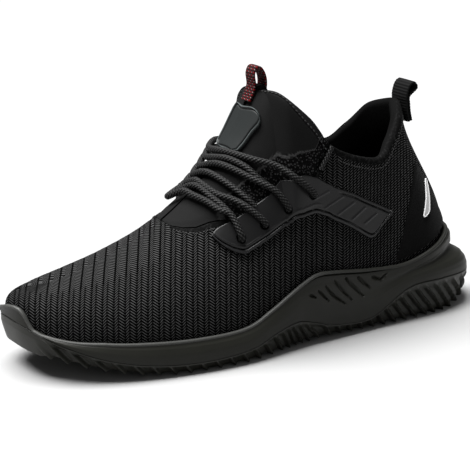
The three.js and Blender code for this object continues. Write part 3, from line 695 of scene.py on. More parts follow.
def thick_sheet(patches):
    """Sheets that meet, as one closed shell. Its faces are of kind 0, and of kind 1 inside."""
    outer = np.concatenate([p["outer"].reshape(-1, 3) for p in patches])
    inner = np.concatenate([p["inner"].reshape(-1, 3) for p in patches])
    uv = np.concatenate([p["uv"].reshape(-1, 2) for p in patches])
    quads = []
    start = 0
    for p in patches:
        at = np.arange(p["outer"][..., 0].size).reshape(p["outer"].shape[:2]) + start
        start += at.size
        quad = np.stack([at[:-1, :-1], at[1:, :-1], at[1:, 1:], at[:-1, 1:]], -1).reshape(-1, 4)
        quads += (quad[:, ::-1] if p["flip"] else quad).tolist()
    keys = np.round(outer * 200).astype(np.int64)
    _, first, same = np.unique(keys, axis=0, return_index=True, return_inverse=True)
    same = same.ravel()
    count = len(first)
    faces, kinds, corners, edges = [], [], [], {}
    for quad in quads:
        kept = []
        for o in quad:
            if same[o] not in [same[k] for k in kept]:
                kept.append(o)
        if len(kept) < 3:
            continue
        face = [int(same[o]) for o in kept]
        faces.append(face)
        kinds.append(0)
        corners += kept
        for i in range(len(kept)):
            a, b = kept[i], kept[(i + 1) % len(kept)]
            edges[(int(same[a]), int(same[b]))] = (a, b)
    fronts = len(faces)
    done = 0
    for face in faces[:fronts]:
        faces.append([count + i for i in reversed(face)])
        kinds.append(1)
        corners += corners[done:done + len(face)][::-1]
        done += len(face)
    for (a, b), (first_corner, last_corner) in edges.items():
        if (b, a) not in edges:
            faces.append([b, a, a + count, b + count])
            kinds.append(0)
            corners += [last_corner, first_corner, first_corner, last_corner]
    points = np.concatenate([outer[first], inner[first]])
    marks = {}
    for mark in patches[0]["marks"]:
        values = np.concatenate([p["marks"][mark].ravel() for p in patches])[first]
        marks[mark] = np.concatenate([values, values])
    return points, faces, kinds, uv[np.array(corners)], marks


def sheet_piece(name, patches, finish, inside=None, sharp=50):
    """A piece from sheets. With a finish of its own inside it also gets the sheets' map."""
    points, faces, kinds, uvs, marks = thick_sheet(patches)
    if inside is None:
        return make_piece(name, points, faces, [finish.material], marks=marks, sharp=sharp)
    materials = [finish.material, inside.material]
    return make_piece(name, points, faces, materials, kinds, uvs, marks, sharp)


def bell(x, place, width):
    """A smooth bump: 1 at a place, and nearly 0 two widths from it."""
    return np.exp(-((x - place) / width) ** 2)


def rounding(distance, radius):
    """How far a rounded edge falls away at a distance from it."""
    inside = np.clip(1 - distance / radius, 0, 1)
    return radius * (1 - np.sqrt(1 - inside ** 2))


# The knit's map runs across its columns and up along them. Its rows zigzag once in a column, so
# many rows up and down, and slant behind a line, so many rows for each millimetre.
column_pitch = 6.1
row_pitch = 1.65
slope_turn = 0.38
zigzag_rows = 1.6
knit_turn = math.radians(31.2)
knit_lean = math.radians(16)
knit_middle = 26
slant_start = -24.75
slant_share = 0.62
column_groove = 0.14

knit = Finish("knit", (0.0042, 0.0042, 0.0042), 0.8, 0.02)
across, up = knit.uv()
column_share = (across / column_pitch).fraction()
zigzag = (column_share / slope_turn).lesser((1 - column_share) / (1 - slope_turn))
slant = knit.mark("slant")
bend = zigzag_rows - slant.lesser(zigzag_rows)
row_wave = up / row_pitch - zigzag * bend - slant
rows_height = (row_wave * (2 * math.pi)).sine() * 0.5 + 0.5
turns = abs(zigzag * 2 - 1) * bend.lesser(1)
holes = turns ** 2 * (1.05 - rows_height)
valley = (turns * 2 - 1).greater(0)
dashes = (across * 3).sine().greater(0) * (1 - bend.lesser(1))
chevrons = rows_height * (1 - valley * 0.45) - holes * 0.8 - dashes * 0.5
plain_knit = rows_height * 0.55 + 0.24 - zigzag.below(0.16) * 0.5
zone = knit.mark("zigzag")
height = chevrons * zone + plain_knit * (1 - zone)
smooth_hem = knit.mark("hem")
height = height * (1 - smooth_hem) + smooth_hem * 0.5
knit.set("Base Color", knit.shades(
    height * 0.85 + knit.noise(700, 2) * 0.15, (0.2, 0.0), (0.5, 0.6), (0.76, 12.0)))
knit.bump(height, 0.0009, 1.0)
lining = Finish("lining", (0.003, 0.003, 0.003), 0.95, 0.02)
lining.bump(lining.noise(2500, 1), 0.0003, 0.8)

upper_stops = np.concatenate([
    np.linspace(0, 0.9, 42, endpoint=False), 1 - 0.1 * np.linspace(1, 0, 10) ** 1.6,
])
upper_rows = np.concatenate([
    np.linspace(0, throat_front, 110, endpoint=False),
    np.linspace(throat_front, 5.5, 14, endpoint=False),
    np.linspace(5.5, throat_back, 110, endpoint=False), np.linspace(throat_back, last_row, 90),
])


def knit_place(points):
    """The knit's own coordinates in millimetres: across its columns, and up along them."""
    x, y = points[..., 0], points[..., 1]
    across_ribs = math.cos(knit_turn) * x + math.sin(knit_turn) * np.hypot(y - knit_middle, 6)
    steps = np.linalg.norm(np.diff(points, axis=1), axis=-1)
    climb = np.concatenate([np.zeros((len(points), 1)), np.cumsum(steps, axis=1)], axis=1)
    return across_ribs, climb


def upper_patch(side):
    rows = np.repeat(upper_rows[:, None], len(upper_stops), 1)
    shares = throat_share(rows) * upper_stops[None, :]
    plain = skin(side, rows, shares)
    across_ribs, climb = knit_place(plain)
    to_edge = climb[:, -1:] - climb
    open_edge = rows > throat_front + nudge
    thickness = upper_wall + collar_pad * pad_of(side, rows) * smooth_step(shares, 0.5, 0.8)
    fall = rounding(to_edge, thickness / 2) * open_edge
    zigzag_zone = 1 - smooth_step(shares, 0.62, 0.72) * (1 - smooth_step(rows, 4.4, 5.2))
    groove = column_groove * bell(np.sin(np.pi * across_ribs / column_pitch), 0, 0.3)
    relief = -groove * smooth_step(climb, 1, 6) * smooth_step(rows, 1, 2.4)
    relief *= 1 - smooth_step(across_ribs, slant_start, slant_start + 4)
    foot_x, foot_y, foot_z = plain[:, :1, 0], plain[:, :1, 1], plain[:, :1, 2]
    foot_height = math.cos(knit_lean) * foot_z + math.sin(knit_lean) * (
        math.sin(knit_turn) * foot_x - math.cos(knit_turn) * np.hypot(foot_y - knit_middle, 6))
    uv = np.stack([across_ribs, climb + foot_height], -1) / uv_unit
    slant = np.maximum(0, across_ribs - slant_start) * slant_share
    toe_tip = 1 - smooth_step(rows, 0.6, 2)
    hem = np.maximum((1 - smooth_step(to_edge, 3.5, 5)) * open_edge, 0.6 * toe_tip)
    marks = {"zigzag": zigzag_zone, "slant": slant, "hem": hem}
    return patch(side, rows, shares, relief - fall, fall - thickness, uv, marks)


upper = sheet_piece("upper_piece", [upper_patch(-1), upper_patch(1)], knit, lining, sharp=60)
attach(upper, "root")
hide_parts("upper")

# The tongue: smooth stretch fabric over thin foam, sewn to the quarters along its sides, with
# an open mesh gusset low down and a turned and stitched hem along its top.
tongue_wall = 3.6
tongue_trim = np.array([
    # row, and how far up the wall the tongue's medial side reaches: its top slopes down there
    (8, 0.97), (8.1, 0.89), (8.3, 0.81), (8.6, 0.75), (9, 0.73), (9.5, 0.76), (10, 0.84),
    (10.5, 0.95), (10.8, 1),
])
hem_drop = 8
gusset = np.array([
    # row, and the share below which the tongue is open mesh
    (throat_front, 0.6), (5.7, 0.66), (6.3, 0.68), (6.9, 0.63), (7.5, 0.56), (8, 0.52), (8.6, 0.52),
    (9.1, 0.56), (9.6, 0.66), (10.1, 0.79), (10.35, 0.93), (throat_back, 1.1),
])

stretch = Finish("stretch", (0.0048, 0.0048, 0.0048), 0.8, 0.06)
in_mesh = stretch.mark("mesh")
cells = stretch.node("ShaderNodeTexVoronoi", feature="F1")
stretch.feed(cells, Vector=stretch.place(), Scale=680.0, Randomness=0.8)
from_hole = Value(stretch, cells.outputs["Distance"])
stretch.set("Base Color", stretch.shades(
    from_hole * 1.2 * in_mesh, (0.0, 1.0), (0.08, 8.0), (0.32, 4.5), (0.5, 0.0)))
stretch.bump(stretch.noise(1800, 2) * 0.3 + (1 - from_hole) * in_mesh, 0.0006, 0.8)

tongue_rows = np.concatenate([
    np.linspace(5.075, 6, 40, endpoint=False), np.linspace(6, 10.78, 230),
])
tongue_stops = np.concatenate([
    np.linspace(0, 0.06, 4, endpoint=False), np.linspace(0.06, 0.88, 34, endpoint=False),
    1 - 0.12 * np.linspace(1, 0, 12) ** 1.5,
])


def tongue_reach(side, rows):
    return look_up(tongue_trim, rows) if side > 0 else np.ones(rows.shape)


def tongue_patch(side):
    rows = np.repeat(tongue_rows[:, None], len(tongue_stops), 1)
    low = throat_share(rows) + 0.006
    shares = low + (tongue_reach(side, rows) - low) * tongue_stops[None, :]
    across_ribs, climb = knit_place(skin(side, rows, shares))
    to_edge = climb[:, -1:] - climb
    free_edge = smooth_step(rows, tongue_top_row - 0.02, tongue_top_row + 0.02)
    fall = rounding(to_edge, tongue_wall / 2) * free_edge
    sunk = 0.35 * (1 - smooth_step(climb, 0, 5))
    hem = 0.6 * bell(to_edge, hem_drop, 0.6) * free_edge
    mesh_zone = 1 - smooth_step(shares - look_up(gusset, rows), -0.012, 0.012)
    mesh_zone *= smooth_step(rows, 5.9, 6.2)
    relief = -sunk - fall - hem - 0.6 * mesh_zone
    uv = np.stack([across_ribs, climb], -1) / uv_unit
    return patch(side, rows, shares, relief, fall - tongue_wall, uv, {"mesh": mesh_zone})


tongue = sheet_piece("tongue_piece", [tongue_patch(-1), tongue_patch(1)], stretch, lining, sharp=60)
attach(tongue, "root")
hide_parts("tongue")

# The eyestays: a strip of moulded film cemented along each side of the throat. Each has four
# eyelets, a groove and a bead along its lower edge, and a recessed wing with five ribs.
eyestay_thickness = 1.8
groove_place = 2.4
wing_groove_place = 2.2
groove_width = 0.42
groove_depth = 0.9
bead_place = 1.1
ridge_height = 0.35
wing_rib_height = 0.6
eyelet_sink = 1.4
eyestay_table = np.array([
    # row, and the shares of the lower and the upper edge
    (5.68, 0.565, 0.578), (5.78, 0.49, 0.588), (6.02, 0.41, 0.57), (6.29, 0.356, 0.54),
    (6.83, 0.326, 0.5), (7.45, 0.292, 0.45), (8.05, 0.264, 0.43), (8.6, 0.28, 0.435),
    (9, 0.295, 0.448), (9.3, 0.308, 0.495), (9.65, 0.34, 0.548), (9.9, 0.37, 0.583),
    (10.37, 0.42, 0.65), (10.77, 0.468, 0.708), (11.15, 0.462, 0.725), (11.42, 0.437, 0.718),
    (11.65, 0.395, 0.686), (11.9, 0.34, 0.65), (12.03, 0.325, 0.63), (12.15, 0.375, 0.61),
    (12.35, 0.447, 0.565), (12.63, 0.485, 0.505),
])
# The row and share of each eyelet, and of each rib's two ends.
eyelets = [(6.28, 0.435), (7.12, 0.375), (8.24, 0.325), (9.87, 0.474)]
wing_ribs = [
    ((9.95, 0.46), (10.68, 0.64)), ((10.55, 0.495), (11.15, 0.67)), ((11.07, 0.52), (11.42, 0.645)),
    ((11.43, 0.5), (11.68, 0.61)), ((11.73, 0.47), (12.0, 0.55)),
]

film = Finish("film", (0.0028, 0.0028, 0.003), 0.38, 0.26)
# The mark 'line' paints light and shade into the film: painted shade in the grooves and the eyelet
# pits, and painted highlights on the bead and the wing's ribs.
film.set("Base Color", film.shades(
    film.mark("line"), (0.1, 0.05), (0.45, 1.0), (0.55, 1.0), (0.9, 4.0)))
film.set("Roughness", film.blend(film.noise(200), 0.32, 0.42))
film.bump(film.noise(1600, 2), 0.00006, 0.5)
eyestay_rows = np.linspace(eyestay_table[0, 0], eyestay_table[-1, 0], 380)
eyestay_stops = np.linspace(0, 1, 60)


def wall_point(side, row, share, away=0.0):
    return skin(side, [row], share, away)[0]


def stroke_distance(rows, shares, start, end):
    """How far places on the wall are from a straight stroke on it."""
    a, b = [wall_point(-1, *place) for place in (start, end)]
    points = skin(-1, rows, shares)
    t = np.clip(((points - a) @ (b - a)) / ((b - a) @ (b - a)), 0, 1)
    return np.linalg.norm(points - a - t[..., None] * (b - a), axis=-1)


def soft_track(table, rows, index):
    """A value between a table's rows, its corners rounded off."""
    fine = np.linspace(table[0, 0], table[-1, 0], 400)
    window = np.hanning(19)
    values = np.pad(look_up(table, fine, index), 9, "reflect", reflect_type="odd")
    return np.interp(rows, fine, np.convolve(values, window / window.sum(), "valid"))


def eyestay_patch(side):
    rows = np.repeat(eyestay_rows[:, None], len(eyestay_stops), 1)
    low = soft_track(eyestay_table, rows, 1)
    high = soft_track(eyestay_table, rows, 2)
    shares = low + (high - low) * eyestay_stops[None, :]
    points = skin(side, rows, shares)
    climb = knit_place(points)[1]
    to_top = climb[:, -1:] - climb
    to_end = np.minimum(*[np.linalg.norm(points - points[end, 0], axis=-1) for end in (0, -1)])
    to_edge = np.minimum(np.minimum(climb, to_top), to_end + 0.4)
    relief = eyestay_thickness - rounding(to_edge, 0.7)
    wing = smooth_step(rows, 10.1, 10.5)
    groove = bell(climb, groove_place, groove_width) * smooth_step(to_top, 1, 3)
    wing_grooves = wing * smooth_step(climb, 1, 3) * np.maximum(
        bell(to_top, wing_groove_place, groove_width) * smooth_step(rows, 11, 11.2),
        bell(to_end, wing_groove_place, groove_width))
    groove = np.maximum(groove, wing_grooves)
    relief -= groove_depth * groove
    # Painted light and shade: the groove is painted darker, and the bead gets a painted highlight.
    line = 0.5 - 0.5 * groove + 0.35 * bell(climb, bead_place, 0.4)
    ridge_line = np.interp(rows, [5.7, 8, 9.8, 10.4], [3.8, 4.3, 5.0, 5.6])
    relief += ridge_height * bell(climb, ridge_line, 0.6) * (1 - wing)
    for start, end in wing_ribs:
        stroke = bell(stroke_distance(rows, shares, start, end), 0, 0.42)
        relief += wing_rib_height * stroke
        # Each wing rib gets a painted highlight.
        line += 0.35 * stroke
    for place in eyelets:
        distance = np.linalg.norm(skin(-1, rows, shares) - wall_point(-1, *place), axis=-1)
        hole = 1 - smooth_step(distance, 1.9, 2.9)
        relief -= eyelet_sink * hole
        # Painted shade in each eyelet's pit.
        line -= 0.5 * hole
    return patch(side, rows, shares, gap * 0.4 + relief, gap * 0.4 + 0 * relief,
                 marks={"line": np.clip(line, 0, 1)})


for side, word in ((-1, "lateral"), (1, "medial")):
    eyestay = sheet_piece(f"eyestay_{word}_piece", [eyestay_patch(side)], film)
    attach(eyestay, "root")
    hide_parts(f"eyestay_{word}")

# The heel panels: thin napped panels cemented over the knit at the heel, and on each a tapered
# reflective strip with a raised border.
panel_thickness = 1.0
panel_foot = 0.085
panel_table = np.array([
    # row, and the share that the panel reaches up to
    (12.8, 0.12), (13.18, 0.38), (13.55, 0.51), (13.9, 0.57), (14.36, 0.61),
    (14.5, 0.55), (14.64, 0.4), (14.76, 0.25), (15, 0.14), (15.5, 0.1),
])
reflector_rows = (13.86, 14.5)
reflector_shares = (0.28, 0.47)
reflector_spread = (0.34, 0.2)

suede = Finish("suede", (0.0021, 0.0021, 0.0021), 0.95, 0.02)
suede.set("Sheen Weight", 0.03)
suede.bump(suede.noise(2200, 3), 0.0003, 0.7)
shiny = Finish("reflector", (0.42, 0.42, 0.42), 0.35, 0.3)
shiny.set("Base Color", shiny.shades(shiny.mark("border"), (0.3, 1.0), (0.7, 1.6)))
panel_rows = np.linspace(panel_table[0, 0], panel_table[-1, 0], 90)
panel_stops = np.linspace(0, 1, 30)


def panel_patch(side):
    rows = np.repeat(panel_rows[:, None], len(panel_stops), 1)
    shares = panel_foot + (look_up(panel_table, rows) - panel_foot) * panel_stops[None, :]
    climb = knit_place(skin(side, rows, shares))[1]
    fall = rounding(np.minimum(climb, climb[:, -1:] - climb), 0.6)
    return patch(side, rows, shares, gap * 0.4 + panel_thickness - fall, gap * 0.4 + 0 * fall)


def reflector_patch(side):
    t = (1 - np.cos(np.linspace(0, np.pi, 48))) / 2
    wide = reflector_spread[0] + t * (reflector_spread[1] - reflector_spread[0])
    end = np.sqrt(np.clip(1 - (1 - np.minimum(t, 1 - t) / 0.12) ** 2, 0, 1))
    wide = wide * np.where((t < 0.12) | (t > 0.88), end, 1)
    across_strip = np.linspace(-0.5, 0.5, 15)
    rows = (reflector_rows[0] + t * (reflector_rows[1] - reflector_rows[0]))[:, None]
    rows = rows + wide[:, None] * across_strip[None, :]
    shares = reflector_shares[0] + t * (reflector_shares[1] - reflector_shares[0])
    shares = np.repeat(shares[:, None], len(across_strip), 1)
    border = np.maximum(np.abs(across_strip)[None, :] * 2, np.abs(2 * t - 1)[:, None] ** 6)
    raised = smooth_step(border, 0.62, 0.78)
    inner = gap * 0.8 + panel_thickness
    made = patch(side, rows, shares, inner + 0.35 + 0.35 * raised, inner + 0 * raised,
                 marks={"border": raised})
    made["flip"] = not made["flip"]
    return made


for side, word in ((-1, "lateral"), (1, "medial")):
    panel = sheet_piece(f"heel_panel_{word}_piece", [panel_patch(side)], suede)
    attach(panel, "root")
    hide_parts(f"heel_panel_{word}")
    strip = sheet_piece(f"reflector_{word}_piece", [reflector_patch(side)], shiny, sharp=40)
    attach(strip, "root")
    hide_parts(f"reflector_{word}")

# The tongue badge: a patch of soft plastic, moulded with a raised rim round a plain field, and
# cemented over the ridge of the tongue. It is wider at its top.
badge_table = np.array([
    # row, and how far down the wall the lateral and medial sides reach
    (6.84, 0.9, 0.94), (6.87, 0.855, 0.89), (6.93, 0.822, 0.872), (7.1, 0.805, 0.872),
    (7.36, 0.785, 0.875), (7.56, 0.758, 0.885), (7.64, 0.76, 0.9), (7.68, 0.8, 0.93),
])
badge_thickness = 2.2
rim_place = 0.7
rim_groove_place = 1.8
rim_width = 0.45

badge_finish = Finish("badge", (0.0092, 0.0106, 0.0106), 0.42, 0.15)
# The mark 'rim' paints light and shade: a painted highlight on the raised rim, and painted shade in
# the groove inside it.
badge_finish.set("Base Color", badge_finish.shades(
    badge_finish.mark("rim"), (0.1, 0.05), (0.45, 1.15), (0.6, 1.15), (0.9, 6.0)))


def badge_patch(side):
    t = (1 - np.cos(np.linspace(0, np.pi, 100))) / 2
    stops = badge_table[0, 0] + t * (badge_table[-1, 0] - badge_table[0, 0])
    wide = 1 - look_up(badge_table, stops, 1 if side < 0 else 2)
    out = np.linspace(0, 1, 48)
    rows = np.repeat(stops[:, None], len(out), 1)
    shares = 1 - (1 - out[None, :]) * wide[:, None]
    points = skin(side, rows, shares)
    to_ends = [np.linalg.norm(points - points[end], axis=-1) for end in (0, -1)]
    to_edge = np.minimum(np.minimum(*to_ends), knit_place(points)[1])
    rim = bell(to_edge, rim_place, rim_width)
    groove = bell(to_edge, rim_groove_place, rim_width)
    relief = badge_thickness - 0.7 - rounding(to_edge, 0.4) + 0.6 * rim - 0.5 * groove
    # The painted highlight on the rim and the painted shade in the groove, as a mark for the colour.
    rim = 0.5 + 0.5 * rim - 0.5 * groove
    return patch(side, rows, shares, gap + relief, gap + 0 * relief, marks={"rim": rim})


badge = sheet_piece("tongue_badge_piece", [badge_patch(-1), badge_patch(1)], badge_finish, sharp=60)
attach(badge, "root")
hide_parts("tongue_badge")

# The pull loops: short lengths of woven webbing, folded over and sewn down, one on the tongue's
# edge and a wide one with cross ribs at the heel.
web_thickness = 1.6
tongue_hollow = 1.4

webbing = Finish("webbing", (0.0038, 0.0038, 0.0038), 0.8, 0.06)
webbing.bump(webbing.noise(2400, 2), 0.0002, 0.6)
flecked = Finish("flecked_webbing", (0.008, 0.006, 0.006), 0.8, 0.1)
across, along = flecked.uv()
fleck = (across * 1.9).sine() * (along * 1.9).sine()
red, black, grey = (0.09, 0.001, 0.002), (0.002, 0.001, 0.001), (0.2, 0.11, 0.11)
flecked.set("Base Color", flecked.shades(
    fleck * 0.5 + 0.5, (0.2, red), (0.36, black), (0.84, black), (0.97, grey)))
flecked.bump(abs(fleck), 0.0003, 0.7)


def through(points, count):
    """Points along a smooth curve through some others, its ends included."""
    p = np.asarray(points, float)
    p = np.concatenate([[2 * p[0] - p[1]], p, [2 * p[-1] - p[-2]]])
    knots = np.cumsum(np.concatenate([[0], np.linalg.norm(np.diff(p, axis=0), axis=1) ** 0.5]))
    t = np.linspace(knots[1], knots[-2], count)
    i = np.clip(np.searchsorted(knots, t, side="right") - 1, 1, len(p) - 3)
    t0, t1, t2, t3 = [knots[i + k][:, None] for k in (-1, 0, 1, 2)]
    p0, p1, p2, p3 = [p[i + k] for k in (-1, 0, 1, 2)]
    t = t[:, None]
    a1 = (t1 - t) / (t1 - t0) * p0 + (t - t0) / (t1 - t0) * p1
    a2 = (t2 - t) / (t2 - t1) * p1 + (t - t1) / (t2 - t1) * p2
    a3 = (t3 - t) / (t3 - t2) * p2 + (t - t2) / (t3 - t2) * p3
    b1 = (t2 - t) / (t2 - t0) * a1 + (t - t0) / (t2 - t0) * a2
    b2 = (t3 - t) / (t3 - t1) * a2 + (t - t1) / (t3 - t1) * a3
    return (t2 - t) / (t2 - t1) * b1 + (t - t1) / (t2 - t1) * b2


def headings(line):
    step = np.gradient(line, axis=0)
    return step / np.linalg.norm(step, axis=1, keepdims=True)


def tube_faces(rings, count):
    """Walls between closed rings, and a lid on each end."""
    last = (rings - 1) * count
    lids = [list(range(count))[::-1], [last + i for i in range(count)]]
    return ring_faces(rings, count, caps=False) + lids


def pull_loop(name, edge, out, legs, bows, width, rise, lean, rib, finish):
    """A folded strip of webbing that stands on an edge, its cross ribs modelled."""
    front, back = [float((leg[-1] - edge) @ out) for leg in legs]
    middle = (front + back + bows[0] - bows[1]) / 2
    half = (bows[0] + bows[1]) / 2
    vertical = np.array([lean, 0, 1]) * rise
    bow = [
        (front + 0.1, 0.12), (middle + half, 0.6), (middle + half * 0.6, 0.9), (middle, 1),
        (middle - half * 0.6, 0.9), (middle - half, 0.6), (back - 0.1, 0.12),
    ]
    turn_over = [edge + out * away + vertical * height for away, height in bow]
    line = through([*legs[0], *turn_over, *legs[1][::-1]], 170)
    step = headings(line)
    normal = np.stack([-step[:, 2], 0 * step[:, 0], step[:, 0]], -1)
    run = run_along(line)
    angles = np.linspace(0, 2 * np.pi, 28, endpoint=False)
    across_web = np.sign(np.cos(angles)) * np.abs(np.cos(angles)) ** 0.35 * width / 2
    swell = np.sign(np.sin(angles)) * np.abs(np.sin(angles)) ** 0.35 * web_thickness / 2
    height = 1 + rib * np.cos(2 * np.pi * run / 1.7)
    rings = line[:, None, :] + normal[:, None, :] * (swell[None, :] * height[:, None])[..., None]
    rings[..., 1] += across_web[None, :]
    faces = tube_faces(len(line), len(angles))
    corners = [i for face in faces for i in face]
    uv = np.stack(np.broadcast_arrays(across_web[None, :], run[:, None]), -1).reshape(-1, 2) / uv_unit
    return make_piece(name, rings.reshape(-1, 3), faces, [finish.material], uvs=uv[corners])


def unit(vector):
    return vector / np.linalg.norm(vector)


edge = wall_point(-1, tongue_top_row, 1)
along = unit(edge - wall_point(-1, tongue_top_row - 0.55, 1))
out = np.array([-along[2], 0, along[0]])
front = gap + web_thickness / 2
behind = -tongue_wall - front - tongue_hollow
tongue_loop = pull_loop(
    "tongue_loop_piece", edge, out,
    [[edge - along * back_off + out * stand for back_off in (8, 4)] for stand in (front, behind)],
    (4.5, 4.5), width=9, rise=14, lean=0, rib=0, finish=flecked)
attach(tongue_loop, "root")
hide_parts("tongue_loop")
edge = wall_point(-1, last_row, 1)
along = unit(edge - wall_point(-1, last_row, 0.86))
heel_loop = pull_loop(
    "heel_loop_piece", edge, np.array([along[2], 0, -along[0]]),
    [[wall_point(-1, last_row, share, stand) for share in (0.83, 0.9, 0.96)]
     for stand in (front + web_thickness + 0.1, front)],
    (6, 0.4), width=15, rise=9, lean=0.1, rib=0.2, finish=webbing)
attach(heel_loop, "root")
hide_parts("heel_loop")

# The lace: one length of round braided elastic, run through the eyelets in seven bars. It has no
# bow, and its ends are hidden inside.
lace_diameter = 3.8
# Each bar's points: side, row, share, and how far off the wall its centre is.
lace_bars = [
    [(-1, 6.28, 0.435, -1.5), (-1, 6.28, 0.435, 3.6), (-1, 6.18, 0.58, 4.9), (-1, 6.03, 0.64, 4.6),
     (-1, 5.88, 0.76, 3.2), (-1, 5.75, 0.89, 3.2), (-1, 5.7, 1, 4.0), (1, 5.53, 0.84, 4.4),
     (1, 5.87, 0.77, 3.0), (1, 6.14, 0.62, 4.4), (1, 6.28, 0.435, 3.6), (1, 6.28, 0.435, -1.5)],
    [(-1, 6.2, 0.575, 3.4), (-1, 6.1, 0.66, 3.0), (-1, 6.0, 0.76, 2.6), (-1, 5.93, 0.91, 2.6),
     (-1, 5.87, 1, 2.7), (1, 5.75, 0.84, 2.7), (1, 6.1, 0.72, 2.6), (1, 6.4, 0.6, 2.0)],
    [(-1, 7.12, 0.375, -1.5), (-1, 7.12, 0.38, 3.6), (-1, 6.62, 0.53, 4.8), (-1, 6.33, 0.64, 3.4),
     (-1, 6.12, 0.74, 2.8), (-1, 6.0, 0.93, 2.7), (-1, 6.0, 1, 2.7), (1, 5.95, 0.84, 2.7),
     (1, 6.15, 0.76, 2.7), (1, 6.58, 0.57, 4.4), (1, 7.12, 0.38, 3.6), (1, 7.12, 0.375, -1.5)],
    [(-1, 6.9, 0.485, 2.0), (-1, 6.7, 0.56, 2.8), (-1, 6.4, 0.73, 2.6), (-1, 6.25, 0.93, 2.6),
     (-1, 6.22, 1, 2.7), (1, 6.15, 0.84, 2.7), (1, 6.5, 0.72, 2.6), (1, 7.0, 0.56, 2.0)],
    [(-1, 8.24, 0.325, -1.5), (-1, 8.24, 0.33, 3.6), (-1, 7.65, 0.43, 4.9), (-1, 7.05, 0.59, 3.4),
     (-1, 6.58, 0.81, 2.7), (-1, 6.48, 0.93, 2.7), (-1, 6.43, 1, 2.7), (1, 6.35, 0.84, 2.7),
     (1, 6.66, 0.76, 2.7), (1, 7.5, 0.49, 4.6), (1, 8.24, 0.33, 3.6), (1, 8.24, 0.325, -1.5)],
    [(-1, 7.5, 0.47, 2.2), (-1, 7.15, 0.58, 2.8), (-1, 6.95, 0.68, 2.6), (-1, 6.68, 0.86, 2.6),
     (-1, 6.6, 1, 2.7), (1, 6.55, 0.84, 2.7), (1, 6.9, 0.72, 2.7), (1, 7.5, 0.56, 2.2)],
    [(-1, 9.87, 0.474, -1.5), (-1, 9.86, 0.476, 3.4), (-1, 8.97, 0.455, 5.2), (-1, 7.85, 0.5, 3.4),
     (-1, 7.2, 0.66, 2.7), (-1, 6.78, 0.91, 2.7), (-1, 6.77, 1, 3.2), (1, 6.73, 0.84, 3.6),
     (1, 7.2, 0.68, 2.7), (1, 7.85, 0.52, 3.4), (1, 8.97, 0.455, 5.2), (1, 9.86, 0.476, 3.4),
     (1, 9.87, 0.474, -1.5)],
]

braid = Finish("braid", (0.0036, 0.0036, 0.0036), 0.6, 0.12)
across, along = braid.uv()
strand = ((across + along) * 2.8).sine()
crossing_strand = ((across - along) * 2.8).sine()
crossing = strand * 0.36 + crossing_strand * 0.14 + 0.5
# The braid's colour paints light and shade onto its strands: painted highlights on their crowns, and
# painted shade between them.
braid.set("Base Color", braid.shades(crossing, (0.3, 0.0), (0.6, 0.5), (0.92, 8.0)))
braid.bump(crossing, 0.0005, 0.8)


def round_cord(points, radius, size=16, pitch=0.55):
    """A round tube along points, and its map: round it, then along it."""
    length = np.linalg.norm(np.diff(points, axis=0), axis=1).sum()
    line = through(points, max(12, round(length / pitch)))
    step = headings(line)
    normal = np.cross(step[0], [0, 0, 1.0])
    normals = []
    for direction in step:
        normal = normal - direction * (normal @ direction)
        normal /= np.linalg.norm(normal)
        normals.append(normal.copy())
    normals = np.array(normals)
    side_ways = np.cross(step, normals)
    angles = np.linspace(0, 2 * np.pi, size, endpoint=False)
    rings = line[:, None] + radius * (
        np.cos(angles)[None, :, None] * normals[:, None]
        + np.sin(angles)[None, :, None] * side_ways[:, None])
    run = run_along(line)
    faces = tube_faces(len(line), size)
    corner_uvs = []
    for face in faces[:-2]:
        i, j = divmod(face[0], size)
        from_x, to_x = [angles[1] * k * radius for k in (j, j + 1)]
        corner_uvs += [(from_x, run[i]), (to_x, run[i]), (to_x, run[i + 1]), (from_x, run[i + 1])]
    corner_uvs += [(0, 0)] * (2 * size)
    return rings.reshape(-1, 3), faces, np.array(corner_uvs) / uv_unit


all_points, all_faces, all_uvs = [], [], []
start = 0
for bar in lace_bars:
    centre = [wall_point(*place) for place in bar]
    points, faces, uvs = round_cord(np.array(centre), lace_diameter / 2)
    all_faces += [[start + i for i in face] for face in faces]
    start += len(points)
    all_points.append(points)
    all_uvs.append(uvs)
lace = make_piece("lace_piece", np.concatenate(all_points), all_faces, [braid.material],
                  uvs=np.concatenate(all_uvs), sharp=60)
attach(lace, "root")
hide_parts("lace")

# The seams: stitches along the tongue's hem, round the collar and round the throat, and a rolled
# seam down each side of the tongue where it joins the quarters.
thread = Finish("thread", (0.03, 0.03, 0.03), 0.8, 0.1)
stitch_sink = 0.05
tree = bpy.data.node_groups.new("stitch_row", "GeometryNodeTree")
tree.interface.new_socket(name="Path", in_out="INPUT", socket_type="NodeSocketGeometry")
stitch_inputs = [
    tree.interface.new_socket(name=label, in_out="INPUT", socket_type="NodeSocketFloat").identifier
    for label in ("Pitch", "Length", "Thickness")
]
tree.interface.new_socket(name="Stitches", in_out="OUTPUT", socket_type="NodeSocketGeometry")
entry = tree.nodes.new("NodeGroupInput")
curve = tree.nodes.new("GeometryNodeMeshToCurve")
spots = tree.nodes.new("GeometryNodeCurveToPoints")
spots.mode = "LENGTH"
bead_mesh = tree.nodes.new("GeometryNodeMeshUVSphere")
bead_mesh.inputs["Segments"].default_value = 8
bead_mesh.inputs["Rings"].default_value = 6
bead_mesh.inputs["Radius"].default_value = 0.5
shape = tree.nodes.new("ShaderNodeCombineXYZ")
placed = tree.nodes.new("GeometryNodeInstanceOnPoints")
solid = tree.nodes.new("GeometryNodeRealizeInstances")
painted = tree.nodes.new("GeometryNodeSetMaterial")
painted.inputs["Material"].default_value = thread.material
leave = tree.nodes.new("NodeGroupOutput")
